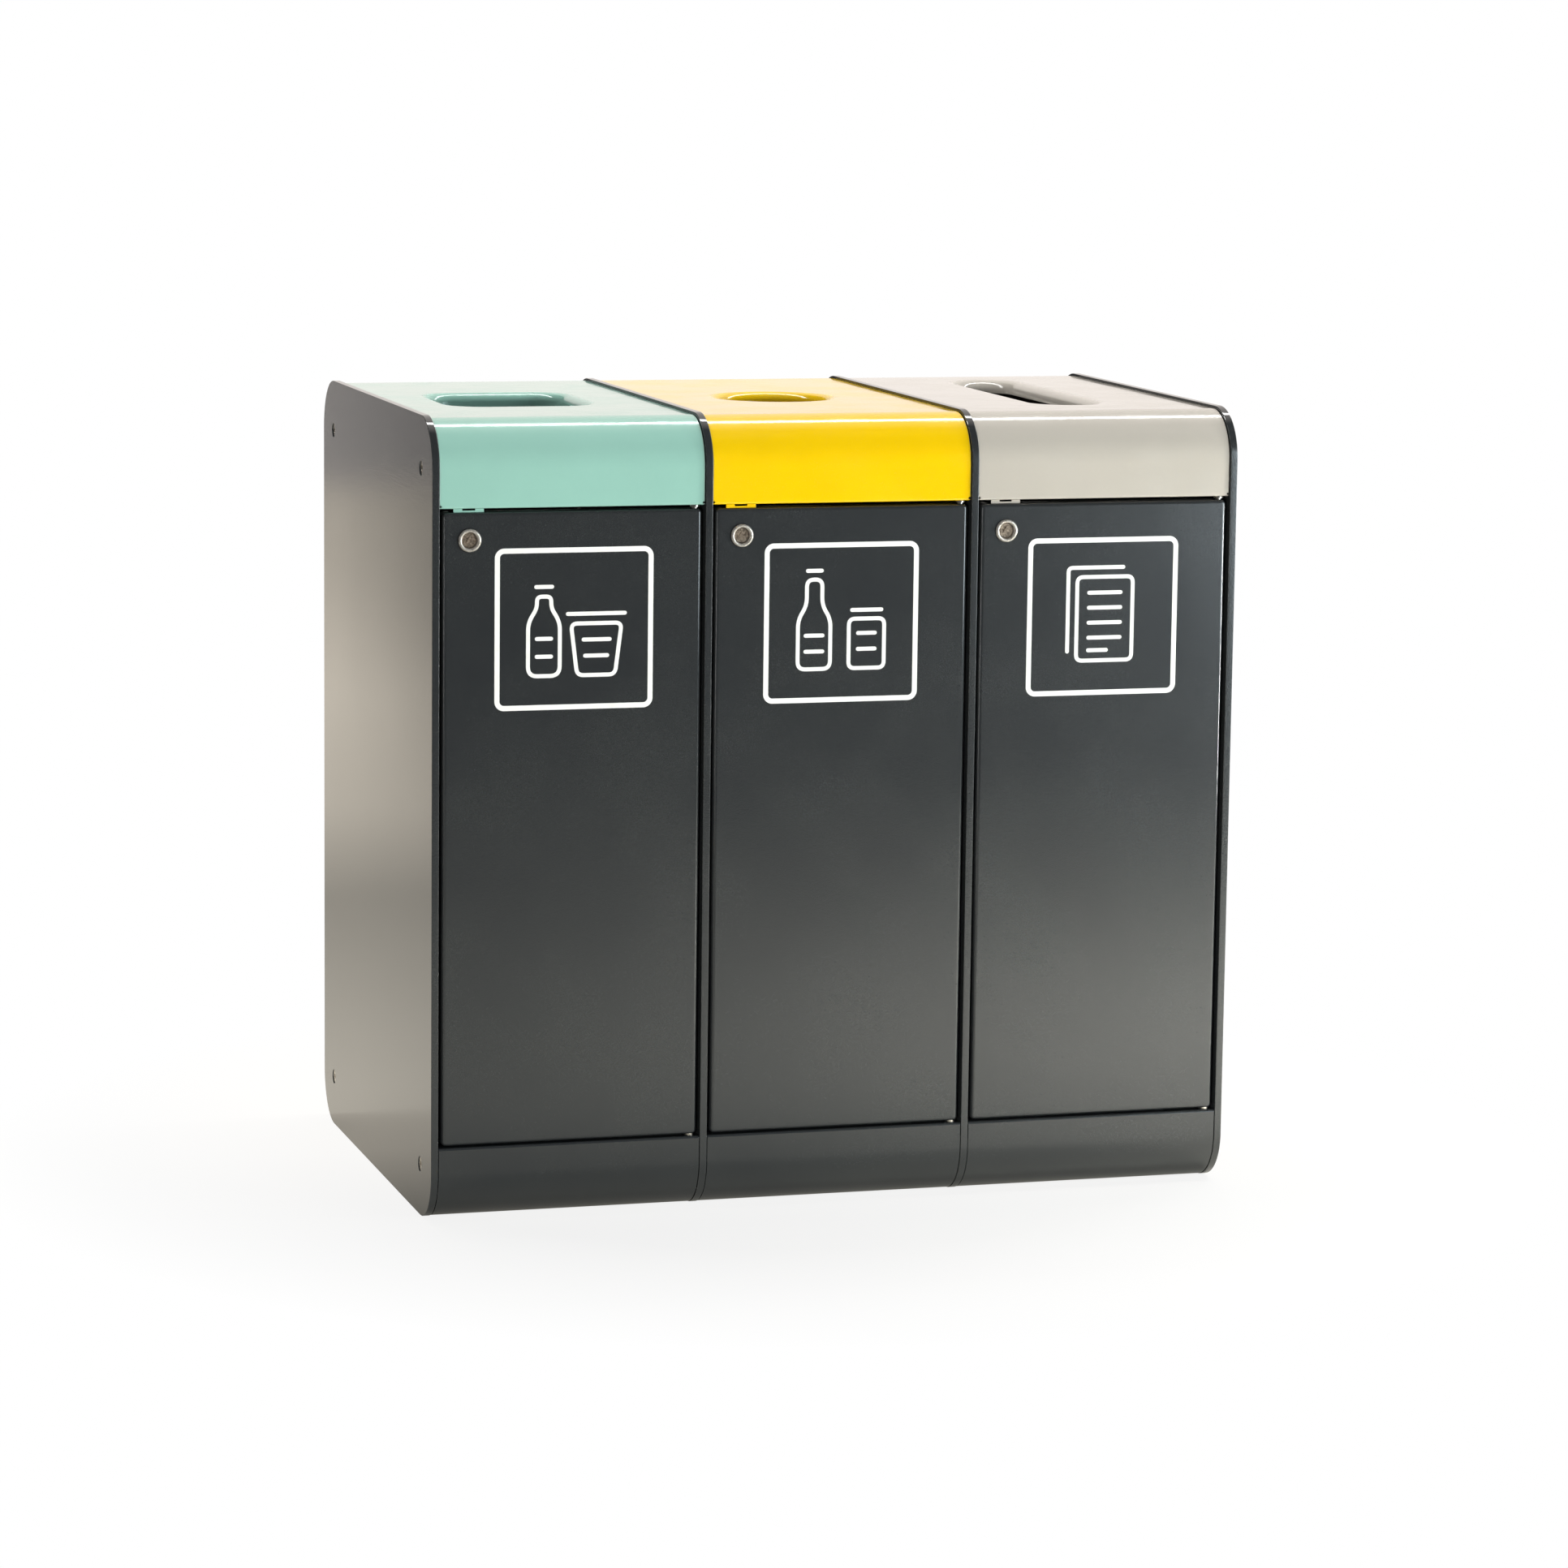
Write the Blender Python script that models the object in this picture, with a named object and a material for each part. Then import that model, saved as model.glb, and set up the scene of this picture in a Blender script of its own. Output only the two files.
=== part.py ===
"""Recycling bin station: three sorting bays between four rounded plates.

Each bay has a folded lid with a drawn mouth, a hinged door with a quarter-turn lock,
a base tray whose front is the kick panel, a back panel and a removable liner.
Metres, +Z up, +Y towards the back, origin under the middle of the station.
"""

import math

import bmesh
import bpy
from mathutils import Matrix, Vector

# Overall sizes
HEIGHT = 1.000
DEPTH = 0.670
BAY_WIDTH = 0.335
PLATE = 0.009
PLATE_CORNER = 0.065
PLATE_CHAMFER = 0.0007
BAYS = ("left", "middle", "right")

# Sheet metal and fits
SHEET = 0.002
FOLD = 0.003
SEAT = 0.0003
PIN_PLAY = 0.0004

# Lids: sheet behind the plates' edges, side gap, height of the skirts, turned-in flanges
LID_INSET = 0.0033
LID_SIDE_GAP = 0.0015
LID_SKIRT = 0.1067
FLANGE = 0.030

# Mouths drawn down through the lids: place from the bay's middle, then the throat's
# half width, half depth and corner radius; the lips bend through a sweep in degrees
MOUTHS = {
    "left": (-0.002, -0.016, 0.0875, 0.0915, 0.045),
    "middle": (-0.002, -0.019, 0.0645, 0.0645, 0.0645),
    "right": (0.008, 0.011, 0.0335, 0.1915, 0.0335),
}
LIP_RADIUS = 0.018
LIP_SWEEP = 80

# Base trays, whose front skirts are the kick panels
BASE_INSET = 0.002
BASE_SIDE_GAP = 0.0015
BASE_SKIRT = 0.095

# Bolts through plates and cheeks, set on the centres of the plate corners
BOLT_RADIUS = 0.005
BOLT_PLAY = 0.00025
SINK_RADIUS = 0.0095
SINK_DEPTH = 0.0055
BOSS_RADIUS = 0.010

# Doors
DOOR_INSET = 0.003
DOOR_SIDE_GAP = 0.005
DOOR_TOP_GAP = 0.003
DOOR_BOTTOM_GAP = 0.0045
DOOR_TRAY = 0.022
TRAY_CORNER = 0.004

# Door pivots, measured from the door's right edge and face
PIVOT_FROM_EDGE = 0.007
PIVOT_FROM_FACE = 0.008
PIVOT_RADIUS = 0.0035
PIVOT_COLLAR = 0.0065
PIVOT_REACH = 0.008

# Quarter-turn locks, measured from the door's left and top edges and from its face
LOCK_FROM_EDGE = 0.033
LOCK_FROM_TOP = 0.0355
LOCK_HEAD = 0.0132
LOCK_PROUD = 0.0026
LOCK_BARREL = 0.010
LOCK_FLOOR = 0.0035
LOCK_BOWL = 0.0086
LOCK_LIP = 0.0018
NUT_FLAT = 0.013
NUT_THICK = 0.0045
SPINDLE_RADIUS = 0.006
SPINDLE_DISC = 0.0080
SPINDLE_DISC_THICK = 0.002
SPINDLE_SQUARE = 0.0035
KEY_TRIANGLE = 0.0052
KEY_HEIGHT = 0.0024
CAM_THICK = 0.003
CAM_LENGTH = 0.032
CAM_HUB = 0.009
CAM_TIP = 0.0065
CAM_STAND = 0.002

# Strike tabs under the lids, behind the doors' skins
STRIKE_WIDTH = 0.038
STRIKE_DROP = 0.022
STRIKE_BEHIND_SKIN = 0.003
STRIKE_SLOT = (0.014, 0.003)
NOTCH_PLAY = 0.004

# Back panels
BACK_INSET = 0.004
BACK_SIDE_GAP = 0.0015
BACK_TRAY = 0.020

# Liners: open sheet bins that taper down to the flat of the base trays
LINER_SHEET = 0.0015
LINER_HEIGHT = 0.770
LINER_SIDE_ROOM = 0.009
LINER_END_ROOM = 0.010
LINER_FOOT_ROOM = 0.002
LINER_RIM = 0.007
LINER_RIM_DROP = 0.012
LINER_CORNER = 0.030
LINER_FOOT = 0.010
HAND_HOLE = (0.045, 0.014)
HAND_HOLE_DROP = 0.060

# Facets of round shapes
ARC_STEPS = 6
LIP_STEPS = 4
FOLD_STEPS = 2
ROUND_STEPS = 12
HEAD_STEPS = 16

# Places worked out from the sizes above
FRONT = -DEPTH / 2
BAY_PITCH = BAY_WIDTH + PLATE
BAY_X = {bay: (index - 1) * BAY_PITCH for index, bay in enumerate(BAYS)}
LID_TOP = HEIGHT - LID_INSET
LID_EDGE = LID_TOP - LID_SKIRT
LIP_REACH = LIP_RADIUS * math.sin(math.radians(LIP_SWEEP))
KICK_TOP = BASE_INSET + BASE_SKIRT
DOOR_TOP = LID_EDGE - DOOR_TOP_GAP
DOOR_BOTTOM = KICK_TOP + DOOR_BOTTOM_GAP
DOOR_FACE = FRONT + DOOR_INSET
DOOR_HALF = BAY_WIDTH / 2 - DOOR_SIDE_GAP
PIVOT_X = DOOR_HALF - PIVOT_FROM_EDGE
PIVOT_Y = DOOR_FACE + PIVOT_FROM_FACE
LOCK_X = LOCK_FROM_EDGE - DOOR_HALF
LOCK_Z = DOOR_TOP - LOCK_FROM_TOP
STRIKE_Y = DOOR_FACE + SHEET + STRIKE_BEHIND_SKIN
CAM_Y = STRIKE_Y + SHEET + 2 * SEAT
BARREL_END = CAM_Y - SEAT - DOOR_FACE
BOLT_Y = DEPTH / 2 - PLATE_CORNER
BOLT_Z = {"lid": HEIGHT - PLATE_CORNER, "base": PLATE_CORNER}


# Finishes: sRGB colour, roughness, metallic
FINISHES = {
    "dark_coat": ((62, 64, 66), 0.42, 0.0),
    "mint_coat": ((160, 211, 194), 0.28, 0.0),
    "yellow_coat": ((249, 206, 8), 0.28, 0.0),
    "warm_grey_coat": ((203, 197, 187), 0.28, 0.0),
    "stainless": ((196, 190, 180), 0.22, 1.0),
    "zinc": ((170, 174, 178), 0.45, 1.0),
}
LID_FINISH = {"left": "mint_coat", "middle": "yellow_coat", "right": "warm_grey_coat"}


def linear(channel):
    """Linear light value of one 8-bit sRGB channel."""
    value = channel / 255
    if value <= 0.04045:
        return value / 12.92
    return ((value + 0.055) / 1.055) ** 2.4


def make_finish(name):
    colour, roughness, metallic = FINISHES[name]
    material = bpy.data.materials.new(name)
    material.use_nodes = True
    shader = material.node_tree.nodes["Principled BSDF"]
    shader.inputs["Base Color"].default_value = (*map(linear, colour), 1)
    shader.inputs["Roughness"].default_value = roughness
    shader.inputs["Metallic"].default_value = metallic
    return material


# Outlines
def arc(centre, radius, start, end, steps):
    """Points on an arc from start to end degrees, both ends included."""
    points = []
    for step in range(steps + 1):
        angle = math.radians(start + (end - start) * step / steps)
        points.append((centre[0] + radius * math.cos(angle), centre[1] + radius * math.sin(angle)))
    return points


def rounded_outline(half_u, half_v, radius, steps):
    """Rectangle with round corners, counter-clockwise; a circle or a slot when the radius fills it."""
    outline = []
    for corner, (side_u, side_v) in enumerate(((1, 1), (-1, 1), (-1, -1), (1, -1))):
        centre = (side_u * (half_u - radius), side_v * (half_v - radius))
        outline += arc(centre, radius, 90 * corner, 90 * corner + 90, steps)
    previous = outline[-1:] + outline[:-1]
    return [point for point, last in zip(outline, previous) if math.dist(point, last) > SEAT / 10]


def polygon_outline(sides, radius, points):
    """Regular polygon drawn with a given number of points, spread evenly along its sides."""
    corners = [Vector(corner) for corner in arc((0, 0), radius, 90, 450, sides)]
    per_side = points // sides
    outline = []
    for first, second in zip(corners, corners[1:]):
        outline += [tuple(first.lerp(second, step / per_side)) for step in range(per_side)]
    return outline


# Solids
def loft(bm, loops, cap_first=True, cap_last=True):
    """Skin a row of closed loops with equal point counts; returns the rings of vertices."""
    rings = [[bm.verts.new(point) for point in loop] for loop in loops]
    for lower, upper in zip(rings, rings[1:]):
        for index in range(len(lower)):
            following = (index + 1) % len(lower)
            bm.faces.new((lower[index], lower[following], upper[following], upper[index]))
    if cap_first:
        bm.faces.new(rings[0][::-1])
    if cap_last:
        bm.faces.new(rings[-1])
    return rings


def along_x(outline, x):
    return [(x, u, v) for u, v in outline]


def along_y(outline, y, x=0.0, z=0.0):
    return [(x + u, y, z + v) for u, v in outline]


def along_z(outline, z, x=0.0, y=0.0):
    return [(x + u, y + v, z) for u, v in outline]


def circle(centre, radius, steps=ROUND_STEPS):
    return arc(centre, radius, 0, 360, steps)[:-1]


def hole_radius(radius, play, steps=ROUND_STEPS):
    """Radius of a faceted hole whose flats clear a round piece by the play."""
    return (radius + play) / math.cos(math.pi / steps)


def turned(bm, profile, axis, centre, steps=ROUND_STEPS):
    """Solid turned about an axis from (radius, height) points, with flat ends."""
    loft(bm, [axis(circle((0, 0), radius, steps), height, *centre) for radius, height in profile])


def turned_ring(bm, loops):
    """Solid ring: closed loops that lead round a section and back to the first."""
    loft(bm, loops + loops[:1], cap_first=False, cap_last=False)
    bmesh.ops.remove_doubles(bm, verts=bm.verts, dist=SEAT / 10)


def new_object(name, bm, finish=None, origin=(0, 0, 0)):
    """Mesh object with outward faces and its origin where asked; a helper when it has no finish."""
    bmesh.ops.recalc_face_normals(bm, faces=bm.faces)
    mesh = bpy.data.meshes.new(name)
    bm.to_mesh(mesh)
    bm.free()
    mesh.transform(Matrix.Translation(-Vector(origin)))
    item = bpy.data.objects.new(name, mesh)
    item.location = origin
    bpy.context.scene.collection.objects.link(item)
    if finish is None:
        item.hide_render = True
        item.display_type = "WIRE"
    else:
        mesh.materials.append(finish)
        mesh.shade_smooth()
        mesh.set_sharp_from_angle(angle=math.radians(30))
    return item


def combine(item, bm, operation):
    """Cut a solid from an object or join one to it, then drop the tool."""
    tool = new_object(item.name + "_tool", bm)
    modifier = item.modifiers.new(operation.title(), "BOOLEAN")
    modifier.operation = operation
    modifier.object = tool
    depsgraph = bpy.context.evaluated_depsgraph_get()
    old_mesh = item.data
    item.data = bpy.data.meshes.new_from_object(item.evaluated_get(depsgraph))
    item.modifiers.remove(modifier)
    bpy.data.objects.remove(tool)
    bpy.data.meshes.remove(old_mesh)
    item.data.name = item.name


def carry(item, carrier):
    """Let an object move with another and stay where it is."""
    item.parent = carrier
    item.matrix_parent_inverse = Matrix.Translation(carrier.location).inverted()


# Plates
def make_plate(name, x, finish, sunk_side):
    """Upright plate with round corners; bolt holes, sunk from the outside on the end plates."""
    bm = bmesh.new()
    half = PLATE / 2
    stations = ((-half, PLATE_CHAMFER), (PLATE_CHAMFER - half, 0),
                (half - PLATE_CHAMFER, 0), (half, PLATE_CHAMFER))
    loops = []
    for offset, inset in stations:
        outline = rounded_outline(DEPTH / 2 - inset, HEIGHT / 2 - inset, PLATE_CORNER - inset, ARC_STEPS)
        loops.append([(x + offset, u, v + HEIGHT / 2) for u, v in outline])
    loft(bm, loops)
    plate = new_object(name, bm, finish)

    bm = bmesh.new()
    hole = hole_radius(BOLT_RADIUS, BOLT_PLAY)
    for side in (-1, 1):
        for z in BOLT_Z.values():
            stops = [(hole, -PLATE), (hole, PLATE)]
            if sunk_side:
                outer = sunk_side * half
                stops = [(hole, -sunk_side * PLATE), (hole, outer - sunk_side * SINK_DEPTH)]
                stops += [(SINK_RADIUS, outer), (SINK_RADIUS, sunk_side * PLATE)]
            loft(bm, [along_x(circle((side * BOLT_Y, z), radius), x + stop) for radius, stop in stops])
    combine(plate, bm, "DIFFERENCE")


# Lids and base trays are the same folded channel, one turned over
def channel_line(inset, skirt, offset):
    """Line of the folded sheet, offset inwards: depth and distance from the flat face."""
    half = DEPTH / 2 - inset
    bend = PLATE_CORNER - inset
    line = [(FLANGE - half, skirt - offset)]
    line += arc((FOLD - half, skirt - FOLD), FOLD - offset, 90, 180, FOLD_STEPS)
    line += arc((bend - half, bend), bend - offset, 180, 270, ARC_STEPS)
    return line + [(-u, v) for u, v in reversed(line)]


def lift(outline, flat_z, inward):
    return [(u, flat_z + inward * v) for u, v in outline]


def make_channel(name, bay, kind, finish, mouth=None):
    """Folded channel with cheeks and bolt bosses; a lid also gets its drawn mouth."""
    lid = kind == "lid"
    lid_sizes = (LID_INSET, LID_SIDE_GAP, LID_SKIRT, LID_TOP, -1)
    base_sizes = (BASE_INSET, BASE_SIDE_GAP, BASE_SKIRT, BASE_INSET, 1)
    inset, side_gap, skirt, flat_z, inward = lid_sizes if lid else base_sizes
    centre = BAY_X[bay]
    half = BAY_WIDTH / 2 - side_gap

    section = channel_line(inset, skirt, 0) + channel_line(inset, skirt, SHEET)[::-1]
    bm = bmesh.new()
    loft(bm, [along_x(lift(section, flat_z, inward), centre + end * half) for end in (-1, 1)])
    if mouth:
        draw_mouth(bm, centre, mouth)
    channel = new_object(name, bm, finish)

    cheek = lift(channel_line(inset, skirt, SHEET / 2), flat_z, inward)
    bm = bmesh.new()
    for side in (-1, 1):
        outer = centre + side * (half - SEAT)
        loft(bm, [along_x(cheek, outer), along_x(cheek, outer - side * SHEET)])
    combine(channel, bm, "UNION")

    bm = bmesh.new()
    for side in (-1, 1):
        seat = centre + side * (BAY_WIDTH / 2 - SEAT)
        root = centre + side * (half - SEAT - SHEET / 2)
        for bolt_y in (-BOLT_Y, BOLT_Y):
            boss = circle((bolt_y, BOLT_Z[kind]), BOSS_RADIUS)
            loft(bm, [along_x(boss, seat), along_x(boss, root)])
    combine(channel, bm, "UNION")

    bm = bmesh.new()
    for bolt_y in (-BOLT_Y, BOLT_Y):
        hole = circle((bolt_y, BOLT_Z[kind]), hole_radius(BOLT_RADIUS, BOLT_PLAY))
        loft(bm, [along_x(hole, centre + end * BAY_WIDTH) for end in (-1, 1)])
    flange_z = LID_EDGE if lid else KICK_TOP
    pin_hole = hole_radius(PIVOT_RADIUS, PIN_PLAY)
    pin_place = (centre + PIVOT_X, PIVOT_Y)
    turned(bm, [(pin_hole, flange_z - FOLD), (pin_hole, flange_z + FOLD)], along_z, pin_place)
    combine(channel, bm, "DIFFERENCE")


def draw_mouth(bm, centre, mouth):
    """Open the lid's flat and draw its edge down into a rounded lip that ends in the throat."""
    aside, back, half_x, half_y, corner = mouth

    def ring(inset, z):
        reach = LIP_REACH - inset
        outline = rounded_outline(half_x + reach, half_y + reach, corner + reach, ARC_STEPS)
        return along_z(outline, z, centre + aside, back)

    bend_z = LID_TOP - LIP_RADIUS
    end = 90 - LIP_SWEEP
    outer = [ring(u, bend_z + v) for u, v in arc((0, 0), LIP_RADIUS, 90, end, LIP_STEPS)]
    inner = [ring(u, bend_z + v) for u, v in arc((0, 0), LIP_RADIUS - SHEET, end, 90, FOLD_STEPS)]
    rings = loft(bm, outer + inner, cap_first=False, cap_last=False)

    for z, edge_ring in ((LID_TOP, rings[0]), (LID_TOP - SHEET, rings[-1])):
        flat = [face for face in bm.faces
                if len(face.verts) == 4 and all(abs(vert.co.z - z) < SEAT / 2 for vert in face.verts)
                and not any(vert in edge_ring for vert in face.verts)]
        border = {edge for face in flat for edge in face.edges}
        bmesh.ops.delete(bm, geom=flat, context="FACES_ONLY")
        border |= {edge for vert in edge_ring for edge in vert.link_edges
                   if edge.other_vert(vert) in edge_ring}
        bmesh.ops.triangle_fill(bm, edges=list(border), use_beauty=True)


# Doors and back panels are the same folded tray, facing opposite ways
def make_tray(name, finish, centre, half_x, low, high, face_y, depth, origin=(0, 0, 0)):
    """Tray with folded edges; its face lies at face_y and its open side at face_y + depth."""
    middle = (low + high) / 2
    inwards = math.copysign(1, depth)

    def ring(inset, behind):
        outline = rounded_outline(half_x - inset, (high - low) / 2 - inset, TRAY_CORNER - inset, FOLD_STEPS)
        return along_y(outline, face_y + inwards * behind, centre, middle)

    outer = [ring(FOLD + u, FOLD + v) for u, v in arc((0, 0), FOLD, -90, -180, FOLD_STEPS)]
    inner_radius = FOLD - SHEET
    inner = [ring(FOLD + u, FOLD + v) for u, v in arc((0, 0), inner_radius, 180, 270, 1)]
    rim = [ring(0, abs(depth)), ring(SHEET, abs(depth))]
    bm = bmesh.new()
    loft(bm, outer + rim + inner)
    return new_object(name, bm, finish, origin)


def make_door(bay, finish):
    centre = BAY_X[bay]
    hinge = (centre + PIVOT_X, PIVOT_Y, DOOR_BOTTOM)
    door = make_tray("door_" + bay, finish, centre, DOOR_HALF,
                     DOOR_BOTTOM, DOOR_TOP, DOOR_FACE, DOOR_TRAY, hinge)
    bm = bmesh.new()
    hole = hole_radius(LOCK_BARREL, SEAT, HEAD_STEPS)
    lock_centre = (centre + LOCK_X, LOCK_Z)
    turned(bm, [(hole, DOOR_FACE - FOLD), (hole, DOOR_FACE + FOLD)], along_y, lock_centre, HEAD_STEPS)
    pin_hole = hole_radius(PIVOT_RADIUS, PIN_PLAY)
    for z in (DOOR_BOTTOM, DOOR_TOP):
        turned(bm, [(pin_hole, z - FOLD), (pin_hole, z + FOLD)], along_z, (centre + PIVOT_X, PIVOT_Y))
    notch_front = STRIKE_Y - SHEET / 2
    notch_back = DOOR_FACE + DOOR_TRAY + FOLD
    half_u = STRIKE_WIDTH / 2 + NOTCH_PLAY
    notch = [(centre + LOCK_X + u, y) for u, y in
             ((-half_u, notch_front), (half_u, notch_front), (half_u, notch_back), (-half_u, notch_back))]
    loft(bm, [along_z(notch, DOOR_TOP - FOLD), along_z(notch, DOOR_TOP + FOLD)])
    combine(door, bm, "DIFFERENCE")
    return door


def make_back_panel(bay, finish):
    make_tray("back_panel_" + bay, finish, BAY_X[bay], BAY_WIDTH / 2 - BACK_SIDE_GAP,
              KICK_TOP + SEAT, LID_EDGE - SEAT, DEPTH / 2 - BACK_INSET, -BACK_TRAY)


def make_strike(bay, finish):
    """Tab under the lid's front flange, with a slot at its bend; the lock's cam turns up behind it."""
    centre = BAY_X[bay] + LOCK_X
    top = LID_EDGE - SEAT
    low = top - STRIKE_DROP
    slot_half, slot_drop = STRIKE_SLOT[0] / 2, STRIKE_SLOT[1]
    half = STRIKE_WIDTH / 2
    outline = [(slot_half, top - slot_drop), (slot_half, top), (half, top)]
    outline += arc((half - FOLD, low + FOLD), FOLD, 0, -90, FOLD_STEPS)
    outline += [(-u, v) for u, v in reversed(outline)]
    bm = bmesh.new()
    loft(bm, [along_y(outline, STRIKE_Y, centre), along_y(outline, STRIKE_Y + SHEET, centre)])
    new_object("strike_" + bay, bm, finish)


def make_pivot(name, finish, bay, low, high):
    """Pivot pin with a collar that fills the gap between door and flange."""
    profile = [(PIVOT_RADIUS, low - PIVOT_REACH), (PIVOT_RADIUS, low + SEAT), (PIVOT_COLLAR, low + SEAT),
               (PIVOT_COLLAR, high - SEAT), (PIVOT_RADIUS, high - SEAT), (PIVOT_RADIUS, high + PIVOT_REACH)]
    bm = bmesh.new()
    turned(bm, profile, along_z, (BAY_X[bay] + PIVOT_X, PIVOT_Y))
    new_object(name, bm, finish)


# Locks
def make_lock(bay, finish, door):
    centre = (BAY_X[bay] + LOCK_X, LOCK_Z)
    axis_point = (centre[0], DOOR_FACE, centre[1])
    bore = hole_radius(SPINDLE_RADIUS, SEAT, HEAD_STEPS)

    body = [(bore, LOCK_FLOOR), (LOCK_BOWL, LOCK_FLOOR)]
    body += arc((LOCK_HEAD - LOCK_LIP, LOCK_LIP - LOCK_PROUD), LOCK_LIP, -180, 0, 2 * FOLD_STEPS)
    body += [(LOCK_HEAD, -SEAT), (LOCK_BARREL, -SEAT), (LOCK_BARREL, BARREL_END), (bore, BARREL_END)]
    bm = bmesh.new()
    turned_ring(bm, [along_y(circle((0, 0), radius, HEAD_STEPS), DOOR_FACE + behind, *centre)
                     for radius, behind in body])
    carry(new_object("lock_body_" + bay, bm, finish, axis_point), door)

    nut_front = DOOR_FACE + SHEET + SEAT
    hexagon = polygon_outline(6, NUT_FLAT / math.cos(math.pi / 6), ROUND_STEPS)
    inside = polygon_outline(ROUND_STEPS, hole_radius(LOCK_BARREL, SEAT), ROUND_STEPS)
    nut = [along_y(outline, y, *centre) for outline, y in
           ((hexagon, nut_front), (hexagon, nut_front + NUT_THICK),
            (inside, nut_front + NUT_THICK), (inside, nut_front))]
    bm = bmesh.new()
    turned_ring(bm, nut)
    carry(new_object("lock_nut_" + bay, bm, finish, axis_point), door)

    disc_back = DOOR_FACE + LOCK_FLOOR - SEAT
    disc_front = disc_back - SPINDLE_DISC_THICK
    square_start = DOOR_FACE + BARREL_END - SEAT
    spindle_end = CAM_Y + CAM_THICK + CAM_STAND
    triangle = polygon_outline(3, KEY_TRIANGLE, ROUND_STEPS)
    disc = polygon_outline(ROUND_STEPS, SPINDLE_DISC, ROUND_STEPS)
    shaft = polygon_outline(ROUND_STEPS, SPINDLE_RADIUS, ROUND_STEPS)
    square = polygon_outline(4, SPINDLE_SQUARE * math.sqrt(2), ROUND_STEPS)
    stations = ((triangle, disc_front - KEY_HEIGHT), (triangle, disc_front),
                (disc, disc_front), (disc, disc_back), (shaft, disc_back),
                (shaft, square_start), (square, square_start), (square, spindle_end))
    bm = bmesh.new()
    loft(bm, [along_y(outline, y, *centre) for outline, y in stations])
    spindle = new_object("lock_spindle_" + bay, bm, finish, axis_point)
    carry(spindle, door)

    cam_outline = arc((0, 0), CAM_HUB, 90, 270, ARC_STEPS)
    cam_outline += arc((CAM_LENGTH - CAM_TIP, 0), CAM_TIP, -90, 90, ARC_STEPS)
    hole = polygon_outline(4, (SPINDLE_SQUARE + SEAT) * math.sqrt(2), 4)
    bm = bmesh.new()
    loft(bm, [along_y(cam_outline, CAM_Y, *centre), along_y(cam_outline, CAM_Y + CAM_THICK, *centre)])
    cam = new_object("lock_cam_" + bay, bm, finish, axis_point)
    bm = bmesh.new()
    loft(bm, [along_y(hole, CAM_Y - CAM_THICK, *centre), along_y(hole, CAM_Y + 2 * CAM_THICK, *centre)])
    combine(cam, bm, "DIFFERENCE")
    carry(cam, door)


# Liners
def make_liner(bay, finish):
    """Open bin with a turned-out rim and hand holes, standing in the base tray."""
    centre = BAY_X[bay]
    floor = BASE_INSET + SHEET + SEAT
    top = floor + LINER_HEIGHT
    half_x = BAY_WIDTH / 2 - LINER_SIDE_ROOM - LINER_RIM
    free_y = DEPTH / 2 - max(DOOR_INSET + DOOR_TRAY, BACK_INSET + BACK_TRAY)
    half_y = free_y - LINER_END_ROOM - LINER_RIM
    taper = half_y - (DEPTH / 2 - PLATE_CORNER - LINER_FOOT_ROOM)

    def ring(inset, z, narrowed=0.0):
        outline = rounded_outline(half_x - narrowed - inset, half_y - narrowed - inset,
                                  LINER_CORNER - inset, FOLD_STEPS + 1)
        return along_z(outline, z, centre)

    foot = LINER_FOOT
    inner_foot = foot - LINER_SHEET
    loops = [ring(foot - u, floor + foot + v, taper) for u, v in arc((0, 0), foot, -90, 0, FOLD_STEPS)]
    loops += [ring(0, top - LINER_SHEET), ring(LINER_SHEET - LINER_RIM, top - LINER_SHEET)]
    loops += [ring(LINER_SHEET - LINER_RIM, top - LINER_RIM_DROP), ring(-LINER_RIM, top - LINER_RIM_DROP)]
    loops += [ring(-LINER_RIM, top), ring(LINER_SHEET, top)]
    loops += [ring(foot - u, floor + foot + v, taper)
              for u, v in arc((0, 0), inner_foot, 0, -90, FOLD_STEPS)]
    bm = bmesh.new()
    loft(bm, loops)
    liner = new_object("liner_" + bay, bm, finish)
    slot = rounded_outline(*HAND_HOLE, HAND_HOLE[1], FOLD_STEPS + 1)
    bm = bmesh.new()
    loft(bm, [along_y(slot, end * DEPTH, centre, top - HAND_HOLE_DROP) for end in (-1, 1)])
    combine(liner, bm, "DIFFERENCE")


def main():
    for item in list(bpy.data.objects):
        bpy.data.objects.remove(item)
    finish = {name: make_finish(name) for name in FINISHES}

    plates = ("end_plate_left", "divider_left", "divider_right", "end_plate_right")
    sunk_sides = (-1, 0, 0, 1)
    for index, (name, sunk_side) in enumerate(zip(plates, sunk_sides)):
        make_plate(name, (index - len(BAYS) / 2) * BAY_PITCH, finish["dark_coat"], sunk_side)

    for bay in BAYS:
        make_channel("lid_" + bay, bay, "lid", finish[LID_FINISH[bay]], MOUTHS[bay])
        make_channel("base_tray_" + bay, bay, "base", finish["dark_coat"])
        make_back_panel(bay, finish["dark_coat"])
        make_strike(bay, finish[LID_FINISH[bay]])
        make_pivot("top_pivot_" + bay, finish["stainless"], bay, DOOR_TOP, LID_EDGE)
        make_pivot("bottom_pivot_" + bay, finish["stainless"], bay, KICK_TOP, DOOR_BOTTOM)
        door = make_door(bay, finish["dark_coat"])
        make_lock(bay, finish["stainless"], door)
        make_liner(bay, finish["zinc"])


main()
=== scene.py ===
# %% [markdown]
# # A recycling bin station
# Three sorting bays stand side by side between four rounded steel plates. Each bay has
# a folded lid with a drawn mouth, a hinged door with a quarter-turn lock, a kick panel,
# a back panel and a loose liner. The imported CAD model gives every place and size, so the
# first step loads it and keeps its box.

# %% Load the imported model
import math

import bmesh
import bpy
from mathutils import Matrix, Vector


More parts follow.
